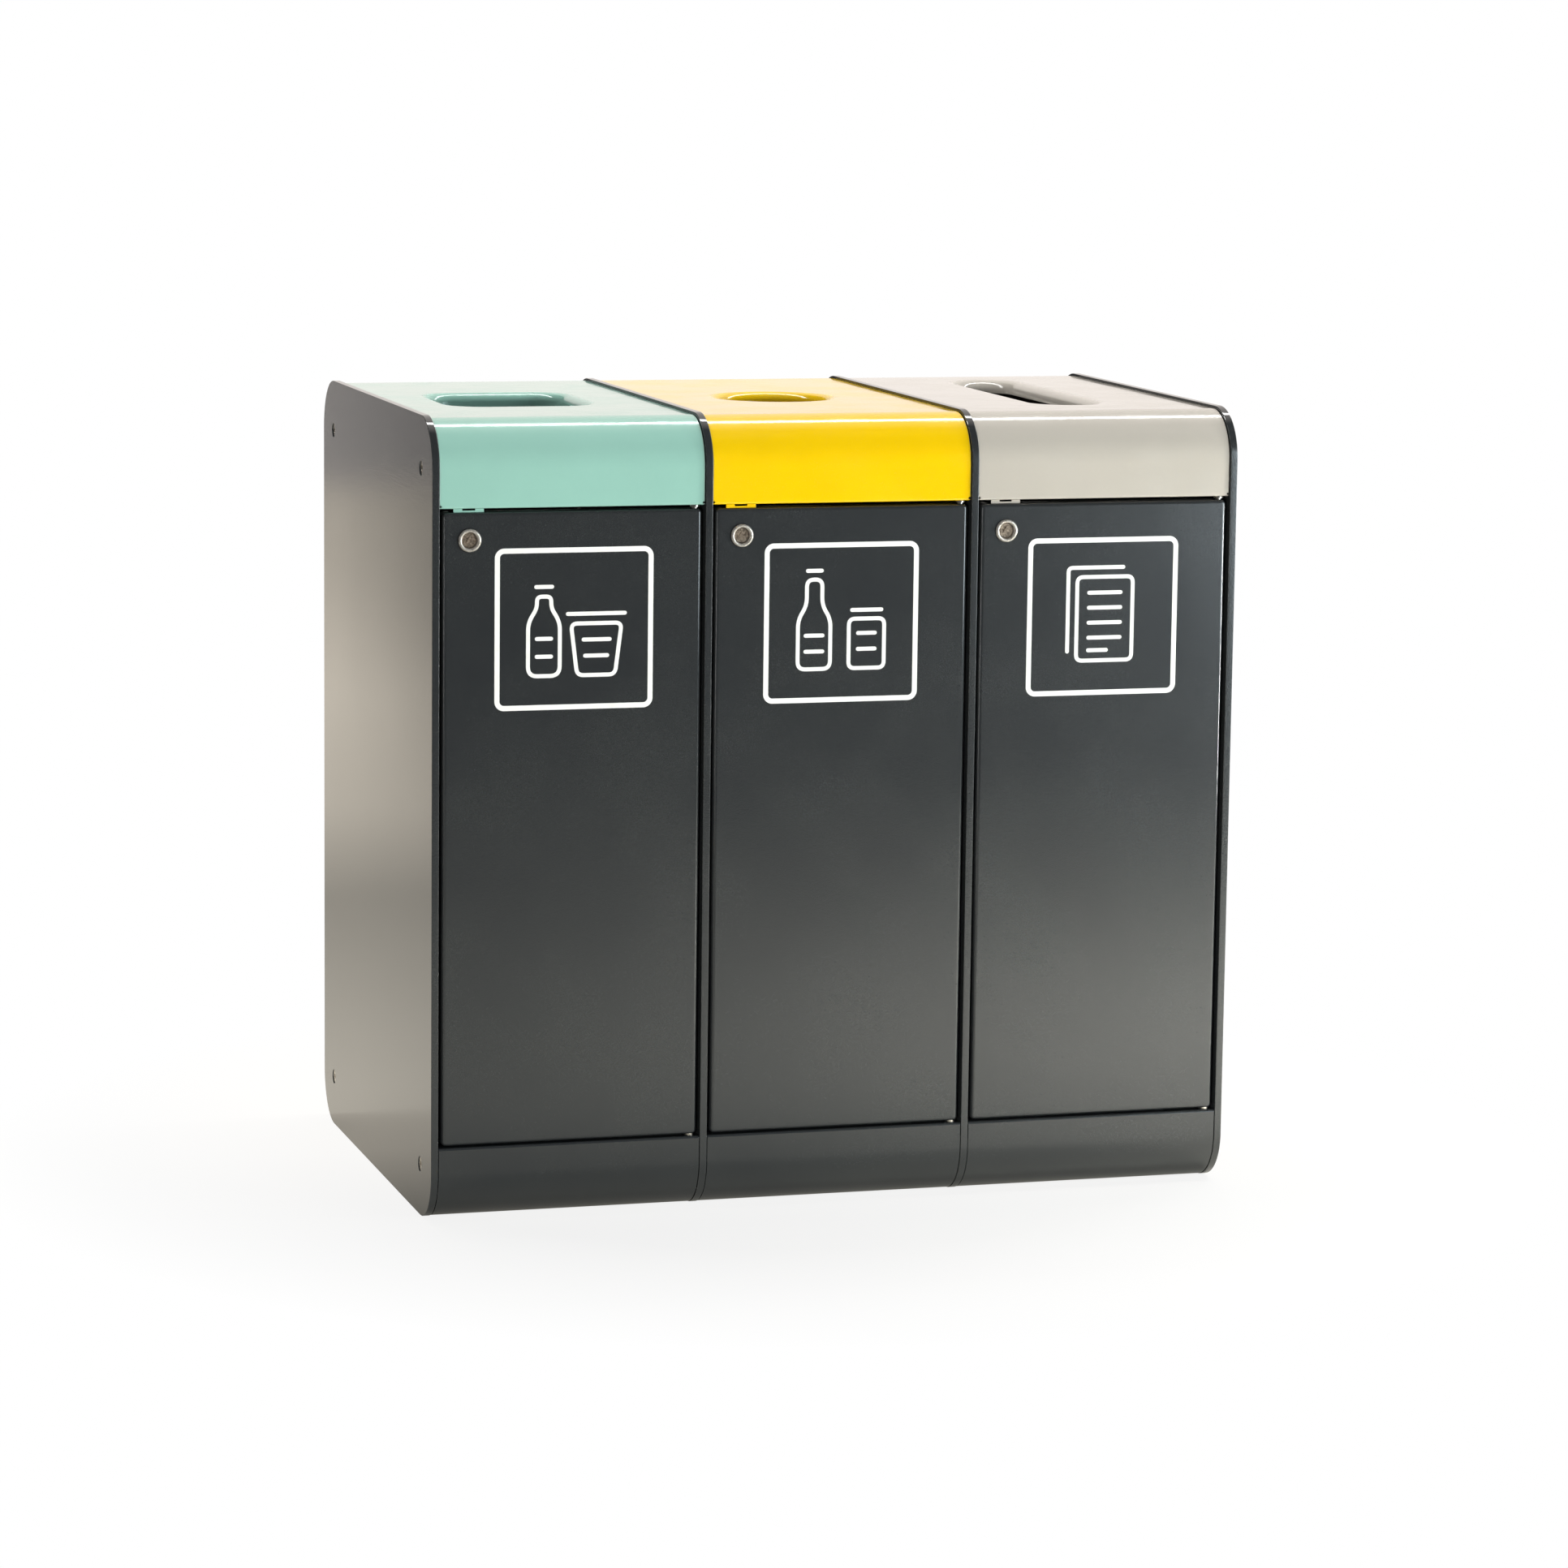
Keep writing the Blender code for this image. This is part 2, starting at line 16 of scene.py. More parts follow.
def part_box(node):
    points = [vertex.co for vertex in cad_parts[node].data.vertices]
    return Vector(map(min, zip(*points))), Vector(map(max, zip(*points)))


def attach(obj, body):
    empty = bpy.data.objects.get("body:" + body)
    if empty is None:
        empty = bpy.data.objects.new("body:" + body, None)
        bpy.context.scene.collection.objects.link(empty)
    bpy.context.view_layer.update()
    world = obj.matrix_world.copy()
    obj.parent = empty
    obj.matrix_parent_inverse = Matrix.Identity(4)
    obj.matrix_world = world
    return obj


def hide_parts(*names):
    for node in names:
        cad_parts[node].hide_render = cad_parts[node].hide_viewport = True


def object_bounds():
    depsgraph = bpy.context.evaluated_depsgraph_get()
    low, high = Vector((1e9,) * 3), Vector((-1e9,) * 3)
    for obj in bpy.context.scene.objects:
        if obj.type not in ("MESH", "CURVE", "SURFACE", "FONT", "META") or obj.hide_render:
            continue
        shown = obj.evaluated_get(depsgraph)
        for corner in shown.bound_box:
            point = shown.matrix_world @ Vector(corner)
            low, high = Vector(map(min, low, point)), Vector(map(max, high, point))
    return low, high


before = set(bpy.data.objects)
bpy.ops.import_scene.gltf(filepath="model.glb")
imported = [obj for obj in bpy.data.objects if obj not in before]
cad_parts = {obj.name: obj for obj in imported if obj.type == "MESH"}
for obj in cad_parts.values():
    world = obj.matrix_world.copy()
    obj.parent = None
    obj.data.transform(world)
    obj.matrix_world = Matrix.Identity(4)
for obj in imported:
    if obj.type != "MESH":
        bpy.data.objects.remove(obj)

cad_box = [list(corner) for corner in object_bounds()]
BAYS = ("left", "middle", "right")
BAY_X = {bay: (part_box("lid_" + bay)[0].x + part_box("lid_" + bay)[1].x) / 2 for bay in BAYS}
print("CAD box", cad_box, "bays at", BAY_X)

# %% [markdown]
# ## A wire for shader maths
# A finish is a network of nodes. Adding each Math node by hand hides the idea, so one
# small class wraps a socket: plain arithmetic on it adds the Math nodes, and one method
# adds any other node. A finish then reads like a formula.

# %% The wire
class Wire:
    """One socket of a node tree; arithmetic on it adds Math nodes."""

    def __init__(self, tree, socket=None):
        self.tree = tree
        self.socket = socket

    def plug(self, node, sockets):
        """Set values or links on a node's inputs."""
        for name, value in sockets.items():
            if isinstance(value, Wire):
                self.tree.links.new(value.socket, node.inputs[name])
            else:
                node.inputs[name].default_value = value

    def node(self, kind, settings=None, sockets=None, output=0):
        """Add any node, its settings first, and give one of its outputs."""
        added = self.tree.nodes.new(kind)
        for name, value in (settings or {}).items():
            if name == "stops":
                for stop in value[2:]:
                    added.color_ramp.elements.new(stop[0])
                for element, (position, level) in zip(added.color_ramp.elements, value):
                    element.position = position
                    element.color = (level, level, level, 1)
            else:
                setattr(added, name, value)
        self.plug(added, sockets or {})
        return Wire(self.tree, added.outputs[output])

    def math(self, operation, first, second):
        return self.node("ShaderNodeMath", {"operation": operation}, {0: first, 1: second})

    def __add__(self, other):
        return self.math("ADD", self, other)

    def __sub__(self, other):
        return self.math("SUBTRACT", self, other)

    def __rsub__(self, other):
        return self.math("SUBTRACT", other, self)

    def __mul__(self, other):
        return self.math("MULTIPLY", self, other)

    __radd__ = __add__
    __rmul__ = __mul__


# %% [markdown]
# ## Colours and patterns
# Colours are written as the 8-bit values that a colour card shows, and turned into the
# linear values that Blender works in. Every pattern reads Object coordinates, in metres,
# so a grain of half a millimetre has the same size on every piece.

# %% Colours and patterns
def linear(*channels):
    """Linear colour of 8-bit sRGB channels."""
    values = [channel / 255 for channel in channels]
    return (*(v / 12.92 if v <= 0.04045 else ((v + 0.055) / 1.055) ** 2.4 for v in values), 1)


def start_finish(name):
    """New material, and a wire to add its nodes with."""
    material = bpy.data.materials.new(name)
    material.use_nodes = True
    return material, Wire(material.node_tree)


def set_shader(material, wire, sockets):
    wire.plug(material.node_tree.nodes["Principled BSDF"], sockets)
    print("finish", material.name, "with", len(material.node_tree.nodes), "nodes")
    return material


def noise(wire, size, detail=2.0):
    """Noise from 0 to 1 whose lumps are about the given size in metres."""
    place = wire.node("ShaderNodeTexCoord", output="Object")
    return wire.node("ShaderNodeTexNoise", None,
                     {"Vector": place, "Scale": 1 / size, "Detail": detail})


def ramp(wire, value, *stops):
    """A value sent through stops of (position, level)."""
    return wire.node("ShaderNodeValToRGB", {"stops": stops}, {"Fac": value})


def mix(wire, share, first, second):
    """Colour between two colours."""
    return wire.node("ShaderNodeMix", {"data_type": "RGBA"},
                     {0: share, 6: first, 7: second}, output=2)


def bump(wire, height, depth, strength=1.0):
    """Normal of a surface whose height runs through the given depth in metres."""
    return wire.node("ShaderNodeBump", None,
                     {"Height": height, "Distance": depth, "Strength": strength})


def mark(wire, name):
    """A number that was stored on the faces or points of a piece."""
    return wire.node("ShaderNodeAttribute", {"attribute_name": name}, output="Fac")


print("middle grey is", round(linear(128, 128, 128)[0], 3), "in linear light")

# %% [markdown]
# ## Dark powder coat
# Plates, doors, kick panels and back panels wear an anthracite powder coat. On the real
# sheet it has a fine leathery grain over a slow orange peel, drifts a little in tone, and
# is rubbed to a pale speckled line along the plates' edges. A flat grey would look like
# plastic, so grain, drift and rub are separate patterns. The thick plates are glossier
# than the sheets and have a deeper grain. A gloss mark on the faces makes the coat smoother
# where it is 1, as on folds and top edges, and duller where it is -1, as on upright edges.

# %% Dark coat
GRAIN_SIZE, PEEL_SIZE, DRIFT_SIZE = 0.0018, 0.0045, 0.16
SPECK_SIZE, RUB_SIZE = 0.0012, 0.0022
GLOSS_STEP, GLOSS_LEVELLING = 0.08, 0.9


def dark_coat(name, grain_depth, softness):
    material, wire = start_finish(name)
    grain = noise(wire, GRAIN_SIZE, 3.0)
    peel = noise(wire, PEEL_SIZE, 1.0)
    drift = noise(wire, DRIFT_SIZE, 3.0)
    slow = ramp(wire, drift, (0.35, 0.0), (0.65, 1.0))
    even = mix(wire, slow, linear(40, 42, 43), linear(45, 47, 47))
    speck = ramp(wire, noise(wire, SPECK_SIZE, 1.0), (0.50, 0.0), (0.75, 1.0))
    tone = mix(wire, speck * 0.2, even, linear(62, 64, 64))
    # Painted shade: the colour is darker in the hollows of the grain, where the bump is low.
    painted_hollow_shade = ramp(wire, grain, (0.30, 1.0), (0.42, 0.0))
    hollow_shaded_tone = mix(wire, painted_hollow_shade * 0.35, tone, linear(30, 31, 32))
    rub = ramp(wire, noise(wire, RUB_SIZE, 2.0), (0.45, 0.0), (0.62, 1.0))
    colour = mix(wire, mark(wire, "edge") * rub * 0.12, hollow_shaded_tone, linear(150, 149, 143))
    gloss = mark(wire, "gloss")
    height = (grain + peel * 0.5) * (1.0 - gloss * GLOSS_LEVELLING)
    return set_shader(material, wire, {
        "Base Color": colour,
        "Roughness": softness + grain * 0.08 + drift * 0.05 - gloss * GLOSS_STEP,
        "Specular IOR Level": 1.0,
        "Normal": bump(wire, height, grain_depth, 0.5),
    })


DARK_COAT = dark_coat("dark_powder_coat", grain_depth=0.00006, softness=0.13)
PLATE_COAT = dark_coat("plate_powder_coat", grain_depth=0.00010, softness=0.05)

# %% [markdown]
# ## Lid coats
# The lids are the colour code of the station: mint, yellow and warm grey. Their coat is
# smoother and glossier than the dark one. A clear-looking gloss comes from the shader's
# coat layer, a shallow orange peel breaks up the edges of the reflections, and softer
# stretches a hand wide keep the gloss from looking like glass. Cut ends are painted paler,
# as a painted highlight where the sheet's edge catches the light.

# %% Lid coats
LID_COLOURS = {"left": (153, 199, 183), "middle": (248, 202, 0), "right": (189, 182, 170)}
LID_SLOTS = {"left": "mint_coat", "middle": "yellow_coat", "right": "warm_grey_coat"}
FINE_PEEL, FINE_DEPTH = 0.0032, 0.00002
SLOW_PEEL, SLOW_DEPTH = 0.045, 0.0004
LID_DRIFT, DUST_SIZE, SOFT_SIZE = 0.12, 0.0011, 0.07
DEEPER, EDGE_HIGHLIGHT_SHARE = 0.985, 0.45


def lid_coat(name, shade):
    material, wire = start_finish(name + "_gloss")
    peel = noise(wire, FINE_PEEL, 1.5) * FINE_DEPTH + noise(wire, SLOW_PEEL, 2.0) * SLOW_DEPTH
    drift = ramp(wire, noise(wire, LID_DRIFT, 3.0), (0.35, 0.0), (0.65, 1.0))
    dust = ramp(wire, noise(wire, DUST_SIZE, 2.0), (0.62, 0.0), (0.72, 1.0))
    soft = ramp(wire, noise(wire, SOFT_SIZE, 2.0), (0.40, 0.0), (0.62, 1.0))
    deeper = [channel * DEEPER for channel in shade]
    highlight_tone = [channel + (255 - channel) * EDGE_HIGHLIGHT_SHARE for channel in shade]
    tone = mix(wire, drift, linear(*deeper), linear(*shade))
    dusted = mix(wire, dust * 0.04, tone, linear(236, 236, 230))
    # Painted highlight: the sheet's cut ends are mixed towards a paler tone of the lid's colour.
    colour = mix(wire, mark(wire, "edge") * 0.8, dusted, linear(*highlight_tone))
    return set_shader(material, wire, {
        "Base Color": colour,
        "Roughness": 0.10 + soft * 0.08 + dust * 0.04,
        "Coat Weight": 0.4,
        "Coat Roughness": 0.05,
        "Normal": bump(wire, peel, 1.0),
    })


LID_COATS = {bay: lid_coat(LID_SLOTS[bay], LID_COLOURS[bay]) for bay in BAYS}

# %% [markdown]
# ## Metals
# The locks, pivots and screws are turned stainless steel: fine rings follow the radius,
# which the lock heads and key discs store on their points. Lock heads are scuffed, so they
# count as a little less metallic, and key discs are dark with grease. The liners are
# galvanised sheet, whose zinc crystals are cells of slightly different grey.

# %% Stainless and zinc
RINGS_PER_METRE, CRYSTALS_PER_METRE = 2600.0, 75.0
HANDLED_SIZE, SMEAR_SIZE = 0.006, 0.0028


def stainless(name, metal):
    material, wire = start_finish(name)
    radius = mark(wire, "radius")
    rings = wire.node("ShaderNodeTexNoise", {"noise_dimensions": "1D"},
                      {"W": radius, "Scale": RINGS_PER_METRE, "Detail": 2.0})
    handled = noise(wire, HANDLED_SIZE, 3.0)
    colour = mix(wire, handled, linear(196, 187, 174), linear(226, 221, 212))
    return set_shader(material, wire, {
        "Base Color": colour,
        "Metallic": metal,
        "Roughness": 0.16 + handled * 0.16 + rings * 0.08,
        "Normal": bump(wire, rings, 0.00004, 0.5),
    })


def zinc():
    material, wire = start_finish("galvanised_sheet")
    place = wire.node("ShaderNodeTexCoord", output="Object")
    crystal = wire.node("ShaderNodeTexVoronoi", None,
                        {"Vector": place, "Scale": CRYSTALS_PER_METRE}, output="Color")
    shade = wire.node("ShaderNodeRGBToBW", None, {"Color": crystal})
    colour = mix(wire, shade, linear(150, 154, 158), linear(184, 187, 190))
    return set_shader(material, wire, {
        "Base Color": colour,
        "Metallic": 1.0,
        "Roughness": 0.36 + shade * 0.14 + noise(wire, 0.004) * 0.06,
        "Normal": bump(wire, noise(wire, 0.003, 3.0), 0.0001, 0.4),
    })


def worn_steel():
    """The key disc and its stud, darkened by grease and keys."""
    material, wire = start_finish("worn_steel")
    smear = noise(wire, SMEAR_SIZE, 4.0)
    clean = ramp(wire, smear, (0.35, 0.0), (0.65, 1.0))
    return set_shader(material, wire, {
        "Base Color": mix(wire, clean, linear(92, 78, 64), linear(168, 152, 134)),
        "Metallic": 0.6,
        "Roughness": 0.30 + smear * 0.20,
        "Normal": bump(wire, smear, 0.0002, 0.5),
    })


STAINLESS = stainless("turned_stainless", 1.0)
SCUFFED_STEEL = stainless("scuffed_stainless", 0.7)
WORN_STEEL = worn_steel()
ZINC = zinc()

# %% [markdown]
# ## Sign print and rubber
# The door signs are thick white print that has taken on a little of the coat's grain.
# Under each lock head sits a thin black rubber ring that keeps water out of the door.

# %% Print and rubber
def sign_print():
    material, wire = start_finish("sign_print")
    grain = noise(wire, 0.0016, 3.0)
    worn = ramp(wire, noise(wire, 0.012, 4.0), (0.30, 1.0), (0.45, 0.0))
    colour = mix(wire, worn * 0.3, linear(246, 244, 237), linear(228, 225, 216))
    return set_shader(material, wire, {
        "Base Color": colour,
        "Roughness": 0.42 + grain * 0.15,
        "Normal": bump(wire, grain, 0.00012, 0.4),
    })


def rubber():
    material, wire = start_finish("black_rubber")
    grain = noise(wire, 0.0008, 3.0)
    return set_shader(material, wire, {
        "Base Color": mix(wire, grain, linear(20, 20, 20), linear(34, 34, 33)),
        "Roughness": 0.35 + grain * 0.2,
        "Normal": bump(wire, grain, 0.00008, 0.5),
    })


SIGN_PRINT = sign_print()
RUBBER = rubber()

# %% [markdown]
# ## Outlines and skins
# Folded sheet is one outline carried along a line. A skin joins a row of closed loops
# with equal point counts, and can mark some of its bands, as edges where the coat is rubbed
# or as folds where it is glossier. This is more exact than bending flat sheets.

# %% Outlines
def arc(centre, radius, start, end, steps):
    """Points on an arc from start to end degrees, both ends included."""
    turns = [math.radians(start + (end - start) * step / steps) for step in range(steps + 1)]
    u, v = centre
    return [(u + radius * math.cos(turn), v + radius * math.sin(turn)) for turn in turns]


SAME_POINT = 1e-6


def rounded(half_u, half_v, radius, steps):
    """Rectangle with round corners, counter-clockwise from its right side."""
    outline = []
    for corner, (side_u, side_v) in enumerate(((1, 1), (-1, 1), (-1, -1), (1, -1))):
        centre = (side_u * (half_u - radius), side_v * (half_v - radius))
        outline += arc(centre, radius, 90 * corner, 90 * corner + 90, steps)
    before = outline[-1:] + outline[:-1]
    return [point for point, last in zip(outline, before) if math.dist(point, last) > SAME_POINT]


def circle(radius, steps):
    return arc((0, 0), radius, 0, 360, steps)[:-1]


def across(outline, x):
    """Outline of (y, z) points in the plane at x."""
    return [(x, u, v) for u, v in outline]


def facing(outline, y, x=0.0, z=0.0):
    """Outline of (x, z) points in the plane at y."""
    return [(x + u, y, z + v) for u, v in outline]


def level(outline, z, x=0.0, y=0.0):
    """Outline of (x, y) points in the plane at z."""
    return [(x + u, y + v, z) for u, v in outline]


print("a square with corners of six steps has", len(rounded(1, 1, 0.1, 6)), "points")

# %% Skins and finished pieces
def new_shape():
    bm = bmesh.new()
    for layer in ("edge", "gloss"):
        bm.faces.layers.float.new(layer)
    bm.verts.layers.float.new("radius")
    return bm


def skin(bm, loops, caps=True, bands=(), layer="edge"):
    """Skin a row of closed loops; the numbered bands carry the layer's mark."""
    rings = [[bm.verts.new(point) for point in loop] for loop in loops]
    marks = bm.faces.layers.float[layer]
    for band, (lower, upper) in enumerate(zip(rings, rings[1:])):
        for index in range(len(lower)):
            after = (index + 1) % len(lower)
            face = bm.faces.new((lower[index], lower[after], upper[after], upper[index]))
            face[marks] = float(band in bands)
    if caps:
        bm.faces.new(rings[0][::-1])
        bm.faces.new(rings[-1])
    return rings


TURN_STEPS = 96


def turned_skin(bm, profile, place):
    """Ring turned from a closed line of (radius, height); each point keeps its radius."""
    line = profile + profile[:1]
    rings = skin(bm, [place(circle(radius, TURN_STEPS), height) for radius, height in line],
                 caps=False)
    layer = bm.verts.layers.float["radius"]
    for ring, (radius, _) in zip(rings, line):
        for vert in ring:
            vert[layer] = radius
    bmesh.ops.remove_doubles(bm, verts=rings[0] + rings[-1], dist=SAME_POINT)


def applied(item):
    """Swap an object's mesh for its evaluated one, and drop the modifiers."""
    graph = bpy.context.evaluated_depsgraph_get()
    old = item.data
    item.data = bpy.data.meshes.new_from_object(item.evaluated_get(graph))
    item.modifiers.clear()
    bpy.data.meshes.remove(old)
    item.data.name = item.name


def solid(name, bm):
    """Object made from a shape, with its faces outwards."""
    bmesh.ops.recalc_face_normals(bm, faces=bm.faces)
    mesh = bpy.data.meshes.new(name)
    bm.to_mesh(mesh)
    bm.free()
    item = bpy.data.objects.new(name, mesh)
    bpy.context.scene.collection.objects.link(item)
    return item


def cut(item, bm):
    """Cut a shape out of an object."""
    tool = solid(item.name + "_cutter", bm)
    knife = item.modifiers.new("Cut", "BOOLEAN")
    knife.object = tool
    applied(item)
    bpy.data.objects.remove(tool)


SMOOTH_ANGLE = math.radians(28)


def finish(item, coat, slot, body, *nodes, bevel=0.0):
    """Shade a piece smoothly with flat faces kept flat, and hand it to its body."""
    if bevel:
        edge = item.modifiers.new("Bevel", "BEVEL")
        edge.width = bevel
        edge.segments = 2
        edge.limit_method = "ANGLE"
        applied(item)
    item.data.materials.clear()
    item.data.materials.append(coat)
    item.data.shade_smooth()
    item.data.set_sharp_from_angle(angle=SMOOTH_ANGLE)
    weigh = item.modifiers.new("Weigh", "WEIGHTED_NORMAL")
    weigh.keep_sharp = True
    applied(item)
    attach(item, body)
    if nodes:
        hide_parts(*nodes)
    print(item.name, "rides on", body, "with", len(item.data.polygons), "faces")
    return item


# %% [markdown]
# ## Plates
# Four upright plates carry everything. Each is one thick sheet with large round corners and
# a tiny rolled edge, which is what catches the light along the front. The two end plates
# are countersunk for the panel screws, so those holes are cut after the skin is closed.

# %% Plates
PLATE_CORNER = 0.065
PLATE_EDGE = 0.0008
ROLL_TURNS = (0, 30, 60, 90)
ROLLED_BANDS = (0, 1, 2, 4, 5, 6)
CORNER_STEPS = 24
SCREW_HOLE = 0.0052
SINK_RADIUS = 0.0095
SINK_DEPTH = 0.0055
SINK_EDGE = 0.0004
CUT_PAST = 0.001
SCREW_Y = 0.270
SCREW_Z = (0.935, 0.065)
OUTER_SIDE = {"end_plate_left": -1, "divider_left": 0, "divider_right": 0, "end_plate_right": 1}


def plate(name):
    low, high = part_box(name)
    middle_z = (low.z + high.z) / 2
    bm = new_shape()
    loops = []
    for start, way in ((low.x, 1), (high.x, -1)):
        rolled = []
        for turn in ROLL_TURNS:
            inset = PLATE_EDGE * (1 - math.sin(math.radians(turn)))
            x = start + way * PLATE_EDGE * (1 - math.cos(math.radians(turn)))
            outline = rounded(high.y - inset, middle_z - inset, PLATE_CORNER - inset,
                              CORNER_STEPS)
            rolled.append(across([(u, v + middle_z) for u, v in outline], x))
        loops += rolled[::way]
    skin(bm, loops, bands=ROLLED_BANDS)
    bm.normal_update()
    gloss = bm.faces.layers.float["gloss"]
    for face in bm.faces:
        _, along_y, along_z = (abs(share) > 0.5 for share in face.normal)
        face[gloss] = float(along_z) or -float(along_y)
    return solid(name + "_sheet", bm)


def sink_holes(item, face, side):
    """Countersunk holes for the panel screws, cut in from the outer face."""
    bm = new_shape()
    for y in (-SCREW_Y, SCREW_Y):
        for z in SCREW_Z:
            stops = ((SCREW_HOLE, -2 * SINK_DEPTH), (SCREW_HOLE, -SINK_DEPTH),
                     (SINK_RADIUS, -SINK_EDGE), (SINK_RADIUS + SINK_EDGE, 0.0),
                     (SINK_RADIUS + SINK_EDGE, CUT_PAST))
            skin(bm, [across([(y + u, z + v) for u, v in circle(radius, 64)], face + side * stop)
                      for radius, stop in stops])
    cut(item, bm)


for name, side in OUTER_SIDE.items():
    upright = plate(name)
    if side:
        sink_holes(upright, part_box(name)[side > 0].x, side)
    finish(upright, PLATE_COAT, "dark_coat", "frame", name)

# %% [markdown]
# ## Lids and base trays
# A lid is a folded channel: a flat top, a large bend the same as the plates' corners, a
# skirt and a turned-in flange. The base tray is the same channel turned over, and its
# front skirt is the kick panel. One outline serves both, drawn once for each side of the
# sheet, and the sheet's cut ends are rounded a little so that they show as fine lines.

# %% The folded channel
SHEET = 0.002
FOLD = 0.003
FLANGE = 0.030
SHEET_EDGE = 0.0006
CUT_BANDS = (0, 1, 3, 4)
DEPTH_HALF = cad_box[1][1]
WIDTH_HALF = 0.1675
SIDE_GAP = 0.0009
CHEEK_GAP = 0.0003


def channel_line(inset, skirt, offset):
    """Line of the folded sheet: depth, and distance from the flat face."""
    half = DEPTH_HALF - inset
    bend = PLATE_CORNER - inset
    line = [(FLANGE - half, skirt - offset)]
    line += arc((FOLD - half, skirt - FOLD), FOLD - offset, 90, 180, 8)
    line += arc((bend - half, bend), bend - offset, 180, 270, 36)
    return line + [(-u, v) for u, v in reversed(line)]


def channel(bm, node, inset, skirt, flat_z, inward):
    low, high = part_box(node)
    centre = (low.x + high.x) / 2
    half = WIDTH_HALF - SIDE_GAP

    def section(offset):
        outer = channel_line(inset, skirt, offset)
        inner = channel_line(inset, skirt, SHEET - offset)
        return [(u, flat_z + inward * v) for u, v in outer + inner[::-1]]

    turns = [math.radians(turn) for turn in (0, 45, 90)]
    ends = [(SHEET_EDGE * (1 - math.cos(turn)), SHEET_EDGE * (1 - math.sin(turn)))
            for turn in turns]
    loops = []
    for side in (-1, 1):
        loops += [across(section(offset), centre + side * (half - along))
                  for along, offset in ends[::-side]]
    skin(bm, loops, bands=CUT_BANDS)

    cheek = [(u, flat_z + inward * v) for u, v in channel_line(inset, skirt, SHEET + CHEEK_GAP)]
    for side in (-1, 1):
        outer = centre + side * (half - SHEET_EDGE)
        skin(bm, [across(cheek, outer), across(cheek, outer - side * SHEET)])
    return centre


# %% [markdown]
# ## Mouths
# Each lid is drawn down into a mouth: a wide rounded square, a circle and a long slot. The
# lip starts with a slow bend and tightens on its way down, as a pressed sheet does, so it
# is two arcs that share a tangent and a short straight wall, and the slot's lip is wider
# than the other two. Rings of one outline step down along the lip, and the lid's flat top
# is filled up to the first ring.

# %% Mouths
# Place from the bay's middle, then the throat's half width, half depth and corner radius
MOUTHS = {
    "left": (-0.009, -0.016, 0.0860, 0.0970, 0.0370),
    "middle": (-0.002, -0.019, 0.0700, 0.0700, 0.0700),
    "right": (0.008, 0.011, 0.0355, 0.1935, 0.0355),
}
# Radii of a lip's two arcs, with the height of the wall below; turns in degrees, and steps
TIGHT_LIP, SLOW_LIP = (0.024, 0.0130), (0.040, 0.0165)
LIPS = {"left": (TIGHT_LIP, 0.009), "middle": (TIGHT_LIP, 0.007), "right": (SLOW_LIP, 0.0025)}
LIP_TURNS = ((0, 10, 5), (10, 80, 15))
LID_INSET = 0.0033
LID_SKIRT = 0.1067
LID_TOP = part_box("lid_left")[1].z


def lip(bay, offset):
    """Steps of the lip: way towards the throat, and drop below the lid's top."""
    inward, drop, steps = 0.0, 0.0, [(0.0, offset)]
    radii, wall = LIPS[bay]
    for radius, (start, end, count) in zip(radii, LIP_TURNS):
        for step in range(1, count + 1):
            first, tilt = (math.radians(start + (end - start) * at / count) for at in (0, step))
            reach = inward + radius * (math.sin(tilt) - math.sin(first))
            depth = drop + radius * (math.cos(first) - math.cos(tilt))
            steps.append((reach - offset * math.sin(tilt), depth + offset * math.cos(tilt)))
        inward, drop = reach, depth
    reach, depth = steps[-1]
    return steps + [(reach + wall * math.cos(tilt), depth + wall * math.sin(tilt))]


def draw_mouth(bm, centre, bay):
    aside, back, half_x, half_y, corner = MOUTHS[bay]
    full_reach = lip(bay, 0.0)[-1][0]

    def ring(step):
        reach = full_reach - step[0]
        outline = rounded(half_x + reach, half_y + reach, corner + reach, CORNER_STEPS)
        return level(outline, LID_TOP - step[1], centre + aside, back)

    rings = skin(bm, [ring(step) for step in lip(bay, 0.0) + lip(bay, SHEET)[::-1]], caps=False)
    for z, edge_ring in ((LID_TOP, rings[0]), (LID_TOP - SHEET, rings[-1])):
        known = set(edge_ring)
        flats = [face for face in bm.faces if len(face.verts) == 4 and not known & set(face.verts)
                 and all(abs(vert.co.z - z) < SAME_POINT * 10 for vert in face.verts)]
        border = {edge for face in flats for edge in face.edges}
        bmesh.ops.delete(bm, geom=flats, context="FACES_ONLY")
        border |= {edge for vert in edge_ring for edge in vert.link_edges
                   if edge.other_vert(vert) in known}
        bmesh.ops.triangle_fill(bm, edges=list(border), use_beauty=True)


print("lips reach and drop", {bay: lip(bay, 0.0)[-1] for bay in BAYS})

# %% Lids
RELIEF_RADIUS, RELIEF_INSET = 0.0015, 0.0012
PIN_HOLE = 0.0040
PIVOT_FROM_MIDDLE = 0.1555
PIVOT_Y = -0.324
LID_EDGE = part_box("lid_left")[0].z


def pin_hole(bm, bay, z):
    """Hole for a door's pivot pin in a level flange."""
    skin(bm, [level(circle(PIN_HOLE, 32), z + way * FOLD, BAY_X[bay] + PIVOT_FROM_MIDDLE, PIVOT_Y)
              for way in (-1, 1)])


